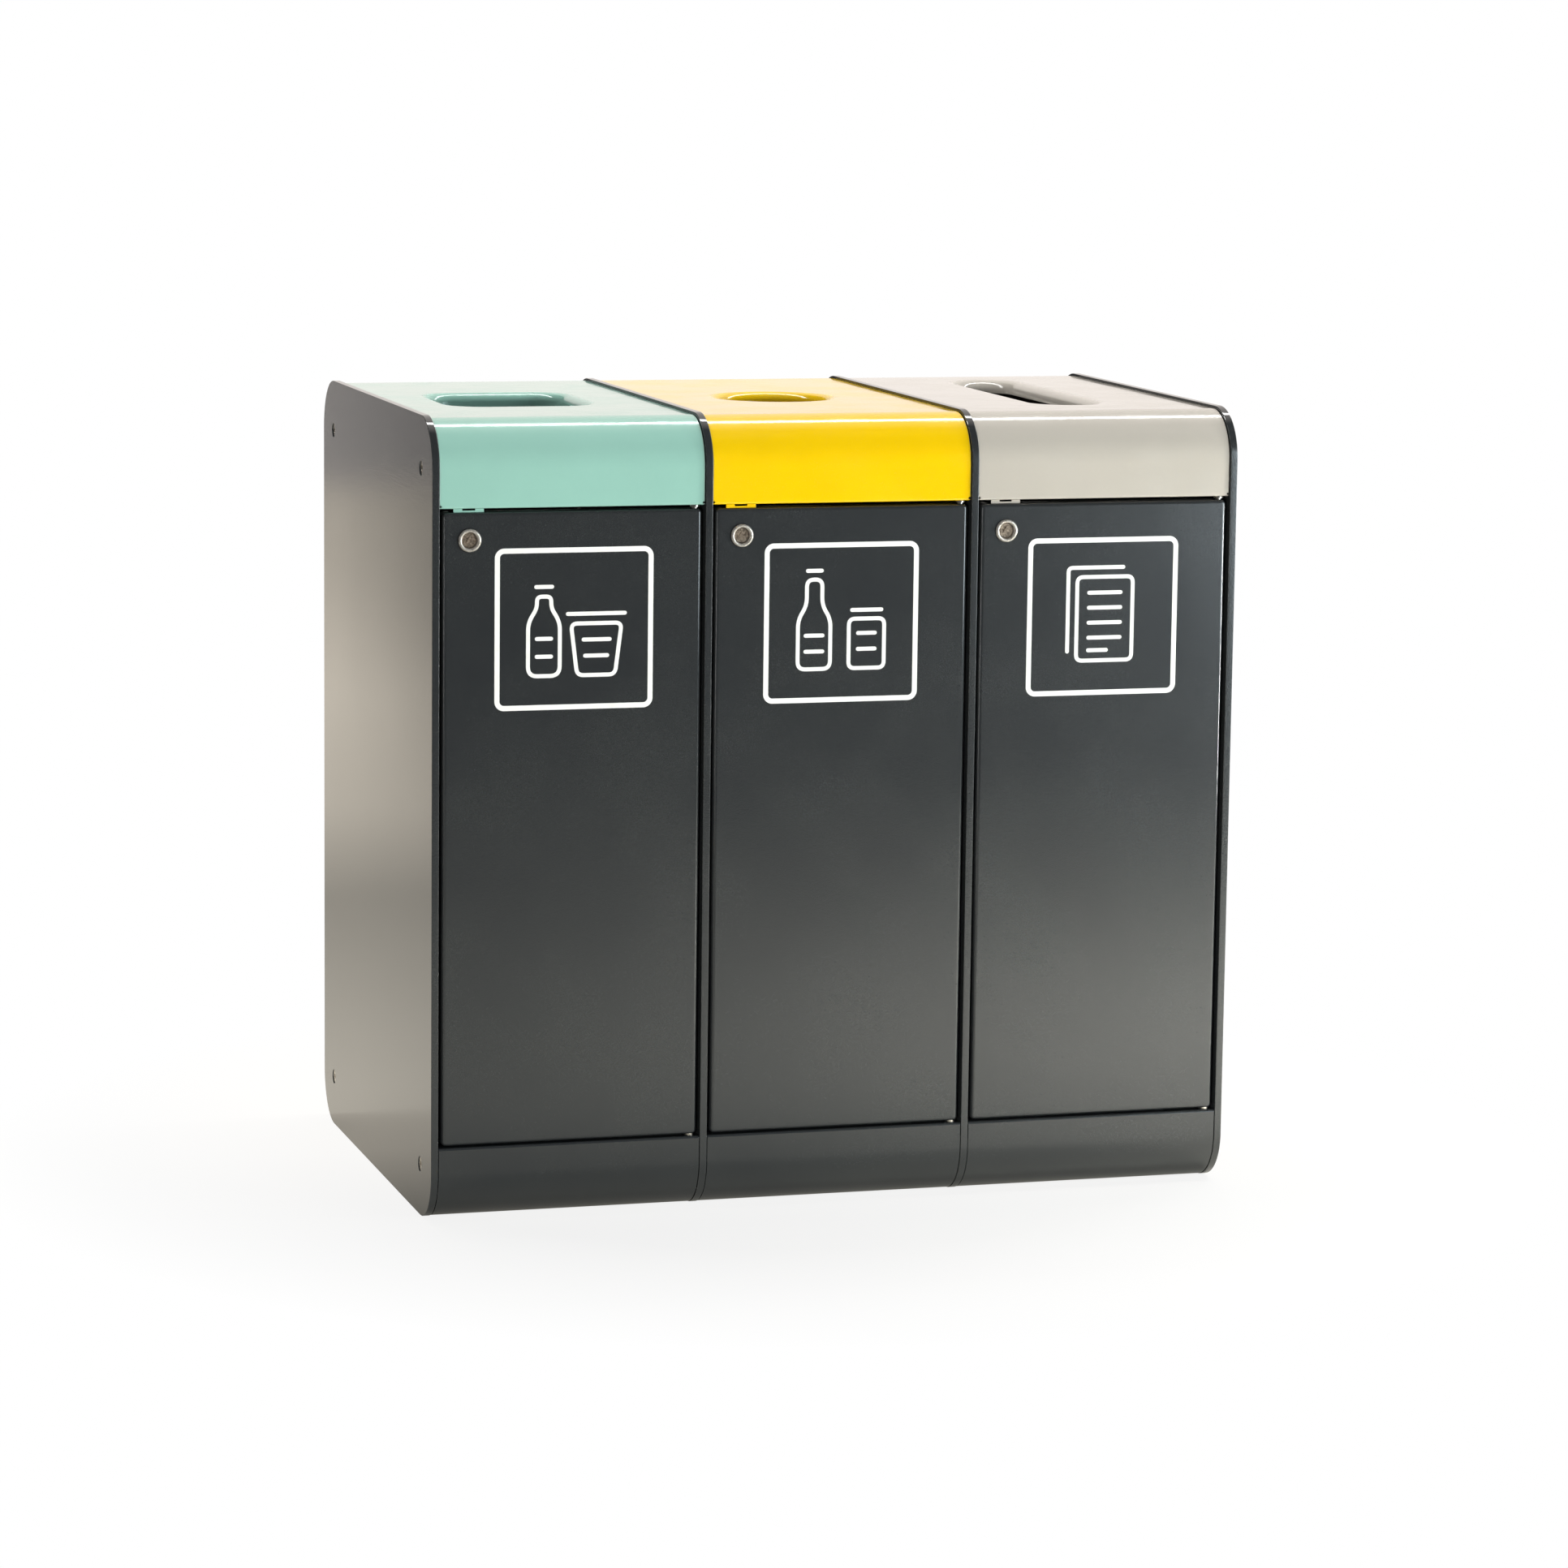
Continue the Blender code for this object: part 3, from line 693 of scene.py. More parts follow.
for bay in BAYS:
    bm = new_shape()
    centre = channel(bm, "lid_" + bay, LID_INSET, LID_SKIRT, LID_TOP, -1)
    draw_mouth(bm, centre, bay)
    lid = solid("lid_sheet_" + bay, bm)
    bm = new_shape()
    for side in (-1, 1):
        notch = circle(RELIEF_RADIUS, 24)
        corner = (centre + side * (WIDTH_HALF - SIDE_GAP - RELIEF_INSET), LID_EDGE + FOLD)
        skin(bm, [facing(notch, y, *corner) for y in (-DEPTH_HALF, FLANGE - DEPTH_HALF)])
    pin_hole(bm, bay, LID_EDGE)
    cut(lid, bm)
    finish(lid, LID_COATS[bay], LID_SLOTS[bay], "frame", "lid_" + bay)

# %% Base trays
BASE_INSET = 0.0006
BASE_SKIRT = 0.0964
KICK_TOP = BASE_INSET + BASE_SKIRT

for bay in BAYS:
    bm = new_shape()
    channel(bm, "base_tray_" + bay, BASE_INSET, BASE_SKIRT, BASE_INSET, 1)
    tray = solid("base_sheet_" + bay, bm)
    bm = new_shape()
    pin_hole(bm, bay, KICK_TOP)
    cut(tray, bm)
    finish(tray, DARK_COAT, "dark_coat", "frame", "base_tray_" + bay)

# %% [markdown]
# ## Doors and back panels
# Both are shallow trays: a flat skin with its four edges folded back. Rings of a rounded
# rectangle step round the fold, along the return and back inside, so the sheet has its
# real thickness when a door stands open. In the photograph the doors hang one or two
# millimetres lower than their solids and reach a little further right, so they do here.

# %% Folded trays
TRAY_CORNER = 0.0055
TRAY_FOLD = 0.0045
DOOR_REVEAL = 0.0015
DOOR_DROP = 0.0022
DOOR_WIDER = 0.001
FOLD_STEPS = 10


def tray(name, node, way):
    """Tray in the box of a node; way is -1 where its face looks to the front."""
    low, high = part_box(node)
    is_door = way < 0
    top = high.z - DOOR_REVEAL * is_door
    foot = low.z - DOOR_DROP * is_door
    right = high.x + DOOR_WIDER * is_door
    centre = ((low.x + right) / 2, (foot + top) / 2)
    half = ((right - low.x) / 2, (top - foot) / 2)
    face = low.y if is_door else high.y
    depth = high.y - low.y

    def ring(inset, behind):
        outline = rounded(half[0] - inset, half[1] - inset, TRAY_CORNER - inset, 6)
        return facing(outline, face - way * behind, *centre)

    fold = arc((TRAY_FOLD, TRAY_FOLD), TRAY_FOLD, -90, -180, FOLD_STEPS)
    hollow = arc((TRAY_FOLD, TRAY_FOLD), TRAY_FOLD - SHEET, 180, 270, FOLD_STEPS // 2)
    stops = fold + [(0, depth), (SHEET, depth)] + hollow
    bm = new_shape()
    skin(bm, [ring(*stop) for stop in stops], bands=range(FOLD_STEPS), layer="gloss")
    return solid(name, bm)


# %% Doors
LOCK_FROM_MIDDLE = -0.1295
LOCK_Z = 0.8515
LOCK_BARREL, BARREL_PLAY = 0.010, 0.0003
DOOR_LOW, DOOR_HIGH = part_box("door_left")
STRIKE_LOW, STRIKE_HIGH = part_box("strike_left")
NOTCH_PLAY = 0.004

for bay in BAYS:
    door = tray("door_sheet_" + bay, "door_" + bay, -1)
    lock_x = BAY_X[bay] + LOCK_FROM_MIDDLE
    bm = new_shape()
    skin(bm, [facing(circle(LOCK_BARREL + BARREL_PLAY, 48), y, lock_x, LOCK_Z)
              for y in (DOOR_LOW.y - FOLD, DOOR_LOW.y + FOLD)])
    for z in (DOOR_LOW.z, DOOR_HIGH.z):
        pin_hole(bm, bay, z)
    half = (STRIKE_HIGH.x - STRIKE_LOW.x) / 2 + NOTCH_PLAY
    front, behind = STRIKE_LOW.y - SHEET / 2, DOOR_HIGH.y + FOLD
    notch = ((-half, front), (half, front), (half, behind), (-half, behind))
    skin(bm, [level(notch, z, lock_x)
              for z in (DOOR_HIGH.z - DOOR_REVEAL - TRAY_FOLD, DOOR_HIGH.z + FOLD)])
    cut(door, bm)
    finish(door, DARK_COAT, "dark_coat", "door_" + bay, "door_" + bay)

# %% Back panels
for bay in BAYS:
    back_panel = tray("back_sheet_" + bay, "back_panel_" + bay, 1)
    finish(back_panel, DARK_COAT, "dark_coat", "frame", "back_panel_" + bay)

# %% [markdown]
# ## Strike tabs
# A tab of the lid's own sheet hangs behind each door's top edge, and the lock's cam turns
# up behind it. A small slot at its bend shows as a dark line above the lock.

# %% Strike tabs
SLOT_HALF, SLOT_DROP = 0.008, 0.0022
TAB_BEVEL = 0.0004

for bay in BAYS:
    low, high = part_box("strike_" + bay)
    half = (high.x - low.x) / 2
    outline = [(SLOT_HALF, high.z - SLOT_DROP), (SLOT_HALF, high.z), (half, high.z)]
    outline += arc((half - FOLD, low.z + FOLD), FOLD, 0, -90, 8)
    outline += [(-u, v) for u, v in reversed(outline)]
    bm = new_shape()
    skin(bm, [facing(outline, y, (low.x + high.x) / 2) for y in (low.y, high.y)])
    tab = solid("strike_tab_" + bay, bm)
    finish(tab, LID_COATS[bay], LID_SLOTS[bay], "frame", "strike_" + bay, bevel=TAB_BEVEL)

# %% [markdown]
# ## Liners
# A liner is a loose bin of galvanised sheet that tapers to its foot, with a rim turned out
# and down, and a hand hole in front and behind. It is seen through the mouths and when a
# door is open.

# %% Liners
LINER_SHEET = 0.0015
LINER_RIM = 0.007
LINER_RIM_DROP = 0.012
LINER_CORNER = 0.030
LINER_FOOT = 0.010
LINER_TAPER = 0.025
HAND_HOLE = (0.045, 0.014)
HAND_HOLE_DROP = 0.060


def liner(bay):
    low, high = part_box("liner_" + bay)
    half_x, half_y = (high.x - low.x) / 2 - LINER_RIM, (high.y - low.y) / 2 - LINER_RIM
    centre = ((low.x + high.x) / 2, (low.y + high.y) / 2)

    def ring(inset, z, narrowed=0.0):
        sides = (half_x - narrowed - inset, half_y - narrowed - inset)
        return level(rounded(*sides, LINER_CORNER - inset, 10), z, *centre)

    def foot(radius, start, end):
        """Rings round the bend at the foot, on one side of the sheet."""
        return [ring(LINER_FOOT - u, low.z + LINER_FOOT + v, LINER_TAPER)
                for u, v in arc((0, 0), radius, start, end, 8)]

    rim_in, rim_foot = LINER_SHEET - LINER_RIM, high.z - LINER_RIM_DROP
    loops = foot(LINER_FOOT, -90, 0)
    loops += [ring(0, high.z - LINER_SHEET), ring(rim_in, high.z - LINER_SHEET)]
    loops += [ring(rim_in, rim_foot), ring(-LINER_RIM, rim_foot)]
    loops += [ring(FOLD / 2 - u - LINER_RIM, high.z - FOLD / 2 + v)
              for u, v in arc((0, 0), FOLD / 2, 0, 90, 5)]
    loops += [ring(LINER_SHEET, high.z)] + foot(LINER_FOOT - LINER_SHEET, 0, -90)
    bm = new_shape()
    skin(bm, loops)
    bin_sheet = solid("liner_sheet_" + bay, bm)
    bm = new_shape()
    slot = rounded(*HAND_HOLE, HAND_HOLE[1], 12)
    skin(bm, [facing(slot, y, centre[0], high.z - HAND_HOLE_DROP)
              for y in (low.y - FOLD, high.y + FOLD)])
    cut(bin_sheet, bm)
    return bin_sheet


for bay in BAYS:
    finish(liner(bay), ZINC, "zinc", "frame", "liner_" + bay)

# %% [markdown]
# ## Locks
# The lock is a scuffed stainless head with a rounded lip round a bowl. In the bowl a disc
# with a three-sided key stud turns, and behind the door its square end carries the cam.
# The head, nut and rubber ring stay with the door, and the disc and cam turn with the lock.

# %% Lock heads, nuts and rubber rings
LOCK_HEAD = 0.0142
LOCK_PROUD = 0.0034
LOCK_LIP = 0.0022
LOCK_BOWL, BOWL_BEND = 0.0095, 0.0015
LOCK_FLOOR = 0.0040
LOCK_BORE = 0.0062
BARREL_END = 0.0073
NUT_RADIUS, NUT_PLAY, NUT_BEVEL = 0.015, 0.0004, 0.0004
NUT_FRONT, NUT_THICK, NUT_STEPS = 0.0023, 0.0045, 8
RING_RADIUS, RING_THICK = 0.0153, 0.0008
RING_PLAY, RING_EDGE = 0.0001, 0.0006
DOOR_FACE = DOOR_LOW.y


def on_lock(bay):
    """Places an outline square to a lock's axis, at a depth behind the door's face."""
    lock_x = BAY_X[bay] + LOCK_FROM_MIDDLE
    return lambda outline, behind: facing(outline, DOOR_FACE + behind, lock_x, LOCK_Z)


for bay in BAYS:
    place = on_lock(bay)
    line = [(LOCK_BORE, LOCK_FLOOR)]
    line += arc((LOCK_BOWL - BOWL_BEND, LOCK_FLOOR - BOWL_BEND), BOWL_BEND, 90, 20, 5)
    line += arc((LOCK_HEAD - LOCK_LIP, LOCK_LIP - LOCK_PROUD), LOCK_LIP, -180, 0, 24)
    line += [(LOCK_HEAD, -RING_THICK), (LOCK_BARREL, -RING_THICK)]
    line += [(LOCK_BARREL, BARREL_END), (LOCK_BORE, BARREL_END)]
    bm = new_shape()
    turned_skin(bm, line, place)
    head = solid("lock_head_" + bay, bm)
    finish(head, SCUFFED_STEEL, "stainless", "door_" + bay, "lock_body_" + bay)

    corners = [Vector(corner) for corner in circle(NUT_RADIUS, 6)]
    wide = [tuple(first.lerp(second, step / NUT_STEPS))
            for first, second in zip(corners, corners[1:] + corners[:1])
            for step in range(NUT_STEPS)]
    narrow = circle(LOCK_BARREL + NUT_PLAY, len(wide))
    nut_back = NUT_FRONT + NUT_THICK
    stops = ((wide, NUT_FRONT), (wide, nut_back), (narrow, nut_back), (narrow, NUT_FRONT))
    bm = new_shape()
    skin(bm, [place(*stop) for stop in stops + stops[:1]], caps=False)
    bmesh.ops.remove_doubles(bm, verts=bm.verts, dist=SAME_POINT)
    nut = solid("lock_ring_nut_" + bay, bm)
    finish(nut, STAINLESS, "stainless", "door_" + bay, "lock_nut_" + bay, bevel=NUT_BEVEL)

    line = [(LOCK_BARREL + RING_PLAY, 0.0), (LOCK_BARREL + RING_PLAY, -RING_THICK)]
    line += arc((RING_RADIUS - RING_EDGE, RING_EDGE - RING_THICK), RING_EDGE, -90, 0, 6)
    bm = new_shape()
    turned_skin(bm, line + [(RING_RADIUS, 0.0)], place)
    finish(solid("lock_seal_" + bay, bm), RUBBER, "dark_coat", "door_" + bay)

# %% Key discs and cams
DISC_RADIUS, DISC_FRONT, DISC_BACK = 0.0090, 0.0012, 0.0036
STUD_RADIUS, STUD_TOP, STUD_SLOPE = 0.0052, -0.0002, 0.0004
DISC_EDGE = 0.0003
SHAFT_RADIUS = 0.006
SQUARE_HALF, SQUARE_PLAY = 0.0035, 0.0003
SHAFT_END, SPINDLE_END = 0.0070, 0.0156
CAM_HUB, CAM_TIP, CAM_LENGTH = 0.009, 0.0065, 0.032
CAM_FRONT, CAM_BACK, CAM_BEVEL = 0.0076, 0.0106, 0.0003


def polygon(sides, radius):
    """Regular polygon with its points spread along its sides."""
    corners = [Vector(point) for point in arc((0, 0), radius, 90, 450, sides)]
    each = TURN_STEPS // sides
    return [tuple(first.lerp(second, step / each))
            for first, second in zip(corners, corners[1:]) for step in range(each)]


def quarter_start(radius):
    """Circle whose points start where a polygon's do."""
    return arc((0, 0), radius, 90, 450, TURN_STEPS)[:-1]


for bay in BAYS:
    place = on_lock(bay)
    bm = new_shape()
    stud, square = polygon(3, STUD_RADIUS), polygon(4, SQUARE_HALF * math.sqrt(2))
    disc, shaft = quarter_start(DISC_RADIUS), quarter_start(SHAFT_RADIUS)
    stops = [(polygon(3, STUD_RADIUS - STUD_SLOPE), STUD_TOP), (stud, STUD_TOP + DISC_EDGE),
             (stud, DISC_FRONT), (quarter_start(DISC_RADIUS - DISC_EDGE), DISC_FRONT),
             (disc, DISC_FRONT + DISC_EDGE), (disc, DISC_BACK), (shaft, DISC_BACK),
             (shaft, SHAFT_END), (square, SHAFT_END), (square, SPINDLE_END)]
    skin(bm, [place(*stop) for stop in stops])
    layer = bm.verts.layers.float["radius"]
    axis = Vector((BAY_X[bay] + LOCK_FROM_MIDDLE, 0, LOCK_Z))
    for vert in bm.verts:
        vert[layer] = (Vector((vert.co.x, 0, vert.co.z)) - axis).length
    key_disc = solid("lock_key_disc_" + bay, bm)
    finish(key_disc, WORN_STEEL, "stainless", "lock_" + bay, "lock_spindle_" + bay)

    arm = arc((0, 0), CAM_HUB, 90, 270, 24) + arc((CAM_LENGTH - CAM_TIP, 0), CAM_TIP, -90, 90, 24)
    bm = new_shape()
    skin(bm, [place(arm, behind) for behind in (CAM_FRONT, CAM_BACK)])
    cam = solid("lock_cam_arm_" + bay, bm)
    bm = new_shape()
    skin(bm, [place(polygon(4, (SQUARE_HALF + SQUARE_PLAY) * math.sqrt(2)), behind)
              for behind in (CAM_FRONT - FOLD, CAM_BACK + FOLD)])
    cut(cam, bm)
    finish(cam, STAINLESS, "stainless", "lock_" + bay, "lock_cam_" + bay, bevel=CAM_BEVEL)

# %% [markdown]
# ## Panel screws and pivots
# The same screw sits in every countersunk hole, and the same pivot at every door corner.
# Copies like these are a job for Geometry Nodes: one tree makes the shape from named
# sizes and sets it on every point, and the result becomes a plain mesh. Each point
# carries the way that its copy faces.

# %% A tree with named inputs
def new_tree(name, inputs):
    """Geometry tree with a geometry input and output, and named number inputs."""
    tree = bpy.data.node_groups.new(name, "GeometryNodeTree")
    tree.interface.new_socket("Geometry", in_out="INPUT", socket_type="NodeSocketGeometry")
    for label in inputs:
        tree.interface.new_socket(label, in_out="INPUT", socket_type="NodeSocketFloat")
    tree.interface.new_socket("Finish", in_out="INPUT", socket_type="NodeSocketMaterial")
    tree.interface.new_socket("Geometry", in_out="OUTPUT", socket_type="NodeSocketGeometry")
    source = tree.nodes.new("NodeGroupInput")
    return tree, {socket.name: Wire(tree, socket) for socket in source.outputs if socket.name}


def set_on_points(tree, given, shape):
    """Set a shape on every point, facing its way, as one real mesh with its finish."""
    wire = Wire(tree)
    way = wire.node("GeometryNodeInputNamedAttribute", {"data_type": "FLOAT_VECTOR"},
                    {"Name": "way"})
    turn = wire.node("FunctionNodeAlignRotationToVector", {"axis": "Z"}, {"Vector": way})
    copies = wire.node("GeometryNodeInstanceOnPoints", None,
                       {"Points": given["Geometry"], "Instance": shape, "Rotation": turn})
    real = wire.node("GeometryNodeRealizeInstances", None, {"Geometry": copies})
    coated = wire.node("GeometryNodeSetMaterial", None,
                       {"Geometry": real, "Material": given["Finish"]})
    end = tree.nodes.new("NodeGroupOutput")
    wire.plug(end, {"Geometry": coated})
    return tree


def grow(name, tree, points, sizes, coat):
    """Object with a point for each (place, way), grown by a tree into a plain mesh."""
    mesh = bpy.data.meshes.new(name)
    mesh.from_pydata([place for place, _ in points], [], [])
    ways = mesh.attributes.new("way", "FLOAT_VECTOR", "POINT")
    for item, (_, way) in zip(ways.data, points):
        item.vector = way
    item = bpy.data.objects.new(name, mesh)
    modifier = item.modifiers.new("Grow", "NODES")
    modifier.node_group = tree
    for socket in tree.interface.items_tree:
        if socket.name in sizes:
            modifier[socket.identifier] = sizes[socket.name]
        elif socket.name == "Finish":
            modifier[socket.identifier] = coat
    bpy.context.scene.collection.objects.link(item)
    applied(item)
    print(name, "grew", len(points), "copies")
    return item


# %% Panel screws
def cylinder(wire, vertices, radius, depth):
    return wire.node("GeometryNodeMeshCylinder", None,
                     {"Vertices": vertices, "Radius": radius, "Depth": depth})


def shifted(wire, shape, height):
    """Shape moved along its axis."""
    offset = wire.node("ShaderNodeCombineXYZ", None, {"Z": height})
    return wire.node("GeometryNodeTransform", None, {"Geometry": shape, "Translation": offset})


def boolean(wire, operation, first, second):
    """Cut the second shape from the first, or join the two."""
    node = wire.tree.nodes.new("GeometryNodeMeshBoolean")
    node.operation = operation
    if operation == "DIFFERENCE":
        wire.plug(node, {0: first, 1: second})
    else:
        for shape in (first, second):
            wire.tree.links.new(shape.socket, node.inputs[1])
    return Wire(wire.tree, node.outputs[0])


SCREW_SUNK, SCREW_BEVEL = 0.0012, 0.0003
SCREW_SIZES = {"Head radius": 0.0086, "Head depth": 0.0040, "Shank radius": 0.0046,
               "Socket radius": 0.0036, "Socket depth": 0.0026}


def screw_tree():
    tree, given = new_tree("panel_screw", SCREW_SIZES)
    wire = Wire(tree)
    head = wire.node("GeometryNodeMeshCone", None, {
        "Vertices": 64, "Radius Top": given["Head radius"], "Radius Bottom": given["Shank radius"],
        "Depth": given["Head depth"]})
    head = shifted(wire, head, given["Head depth"] * -1.0)
    socket = cylinder(wire, 6, given["Socket radius"], given["Socket depth"] * 2.0)
    return set_on_points(tree, given, boolean(wire, "DIFFERENCE", head, socket))


screw_points = []
for node, side in OUTER_SIDE.items():
    if side:
        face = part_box(node)[side > 0].x - side * SCREW_SUNK
        screw_points += [((face, y, z), (side, 0, 0)) for y in (-SCREW_Y, SCREW_Y) for z in SCREW_Z]
screws = grow("panel_screws", screw_tree(), screw_points, SCREW_SIZES, STAINLESS)
finish(screws, STAINLESS, "stainless", "frame", bevel=SCREW_BEVEL)

# %% Door pivots
PIN_RADIUS, COLLAR_RADIUS = 0.0035, 0.0062
COLLAR_PLAY, PIVOT_BEVEL = 0.0006, 0.0002
PIVOT_INPUTS = ("Pin radius", "Pin length", "Collar radius", "Collar length")


def pivot_tree():
    tree, given = new_tree("door_pivot", PIVOT_INPUTS)
    wire = Wire(tree)
    pin = cylinder(wire, 48, given["Pin radius"], given["Pin length"])
    collar = cylinder(wire, 48, given["Collar radius"], given["Collar length"])
    return set_on_points(tree, given, boolean(wire, "UNION", pin, collar))


pivot = pivot_tree()
for row, gap in (("top", LID_EDGE - DOOR_HIGH.z), ("bottom", DOOR_LOW.z - KICK_TOP)):
    nodes = [row + "_pivot_" + bay for bay in BAYS]
    boxes = [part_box(node) for node in nodes]
    pin_length = boxes[0][1].z - boxes[0][0].z
    sizes = dict(zip(PIVOT_INPUTS, (PIN_RADIUS, pin_length, COLLAR_RADIUS, gap - COLLAR_PLAY)))
    points = [((low + high) / 2, (0, 0, 1)) for low, high in boxes]
    pins = grow(row + "_pivots", pivot, points, sizes, STAINLESS)
    finish(pins, STAINLESS, "stainless", "frame", *nodes, bevel=PIVOT_BEVEL)

# %% [markdown]
# ## Door signs
# Each door carries a white rounded frame with a plain line drawing of what goes in: a bottle
# and a tub, a bottle and a jar, a stack of sheets. Every line is a flat ribbon a quarter of
# a millimetre proud of the coat, with round ends, so it also prints as real geometry.

# %% Ribbons
PRINT_FRONT = DOOR_FACE - 0.00025
PRINT_BACK = DOOR_FACE + 0.0002
SIGN_Z = 0.7408
SIGN_ASIDE = {"left": 0.002, "middle": 0.0, "right": 0.0}
SIGN_HALF = 0.100
SIGN_CORNER = 0.012
SIGN_LINE = 0.0064
DRAWN_LINE = 0.0050


def loop_ribbon(bm, outline, width, centre):
    """Closed ribbon to both sides of a smooth counter-clockwise outline."""
    points = [Vector(point) for point in outline]
    outer, inner = [], []
    for before, here, after in zip(points[-1:] + points[:-1], points, points[1:] + points[:1]):
        first, second = (here - before).normalized(), (after - here).normalized()
        along = (first + second).normalized()
        out = Vector((along.y, -along.x)) * (width / 2 / max(along.dot(first), 0.5))
        outer.append(here + out)
        inner.append(here - out)
    stops = ((outer, PRINT_BACK), (outer, PRINT_FRONT), (inner, PRINT_FRONT), (inner, PRINT_BACK))
    skin(bm, [facing(line, y, *centre) for line, y in stops + stops[:1]], caps=False)
    bmesh.ops.remove_doubles(bm, verts=bm.verts, dist=SAME_POINT)


def stroke(bm, path, width, centre):
    """Open ribbon with round ends along a path of points."""
    points = [Vector(point) for point in path]
    left, right = [], []
    for index, here in enumerate(points):
        before, after = points[max(index - 1, 0)], points[min(index + 1, len(points) - 1)]
        along = (after - before).normalized()
        out = Vector((along.y, -along.x)) * (width / 2)
        right.append(here + out)
        left.append(here - out)
    outline = right + round_end(points[-1], right[-1]) + left[::-1] + round_end(points[0], left[0])
    skin(bm, [facing(outline, y, *centre) for y in (PRINT_BACK, PRINT_FRONT)])


def round_end(middle, start):
    """Half turn, counter-clockwise, from one side of a stroke to the other."""
    spoke = start - middle
    turns = [math.radians(180 * step / 8) for step in range(1, 8)]
    return [middle + Vector((spoke.x * math.cos(t) - spoke.y * math.sin(t),
                             spoke.x * math.sin(t) + spoke.y * math.cos(t))) for t in turns]


def smooth_path(corners, radius=0.004, closed=True):
    """Path through corners, each rounded by the same radius."""
    points = [Vector(corner) for corner in corners]
    path = []
    for index, here in enumerate(points):
        if not closed and index in (0, len(points) - 1):
            path.append(here)
            continue
        before, after = points[index - 1], points[(index + 1) % len(points)]
        reach = min(radius, (before - here).length * 0.45, (after - here).length * 0.45)
        first = here + (before - here).normalized() * reach
        last = here + (after - here).normalized() * reach
        for step in range(7):
            t = step / 6
            path.append(first * (1 - t) ** 2 + here * (2 * t * (1 - t)) + last * t ** 2)
    return path


# %% Sign drawings
def millimetres(*points):
    return [(x / 1000, z / 1000) for x, z in points]


def drawing(bay):
    """Closed loops and open strokes of one sign, in its own frame."""
    if bay == "left":
        bottle = millimetres((-58, -58), (-18, -58), (-18, 8), (-29, 26), (-29, 40), (-47, 40), (-47, 26), (-58, 8))
        tub = millimetres((4, -58), (52, -58), (60, 6), (-4, 6))
        return [smooth_path(bottle, 0.012), smooth_path(tub, 0.008)], [
            millimetres((-48, 52), (-28, 52)), millimetres((-47, -12), (-29, -12)), millimetres((-47, -34), (-29, -34)),
            millimetres((-8, 18), (64, 18)), millimetres((12, -14), (45, -14)), millimetres((14, -34), (42, -34))]
    if bay == "middle":
        jar = millimetres((10, -58), (56, -58), (56, 4), (10, 4))
        bottle = millimetres((-56, -58), (-14, -58), (-14, 4), (-25, 22), (-25, 54), (-45, 54), (-45, 22), (-56, 4))
        return [smooth_path(jar, 0.008), smooth_path(bottle, 0.010)], [
            millimetres((14, 15), (52, 15)), millimetres((22, -14), (44, -14)), millimetres((22, -34), (44, -34)),
            millimetres((-46, -16), (-24, -16)), millimetres((-46, -36), (-24, -36)), millimetres((-44, 65), (-26, 65))]
    sheet = millimetres((-34, -56), (40, -56), (40, 50), (-34, 50))
    behind = smooth_path(millimetres((-46, -44), (-46, 62), (27, 62)), 0.006, closed=False)
    lines = [millimetres((-18, z), (24, z)) for z in (30, 11, -8, -27)]
    return [smooth_path(sheet, 0.008)], [behind] + lines + [millimetres((-18, -43), (6, -43))]


for bay in BAYS:
    centre = (BAY_X[bay] + SIGN_ASIDE[bay], SIGN_Z)
    bm = new_shape()
    half = SIGN_HALF - SIGN_LINE / 2
    loop_ribbon(bm, rounded(half, half, SIGN_CORNER - SIGN_LINE / 2, 12), SIGN_LINE, centre)
    loops, strokes = drawing(bay)
    for loop in loops:
        loop_ribbon(bm, loop, DRAWN_LINE, centre)
    for path in strokes:
        stroke(bm, path, DRAWN_LINE, centre)
    finish(solid("door_sign_" + bay, bm), SIGN_PRINT, "warm_grey_coat", "door_" + bay)

# %% [markdown]
# ## Floor and surroundings
# The photograph is a cut-out on white. The floor is pale and keeps a soft shadow, and the
# world is white for the camera. What the dark faces mirror matters most: the doors mirror
# the floor in front, whose paint is darkened towards the camera and to the left as painted
# shade, and the left plate mirrors the floor behind, which glows in bands and fades at its
# left. The world is bright behind the station and at the right, and dim elsewhere.

# %% Floor
FLOOR_GLOW = 1.8
PAINTED_SHADE_BY_DEPTH = ((0.25, 0.32), (0.45, 0.46), (0.625, 0.65), (0.75, 0.77), (0.85, 0.78), (1.0, 0.84))
GLOW_BY_DEPTH = ((0.06, 0.0), (0.11, 0.33), (0.15, 0.36), (0.26, 0.25), (0.30, 0.23),
                 (0.39, 0.60), (0.54, 0.77), (0.77, 0.60), (1.0, 0.56))


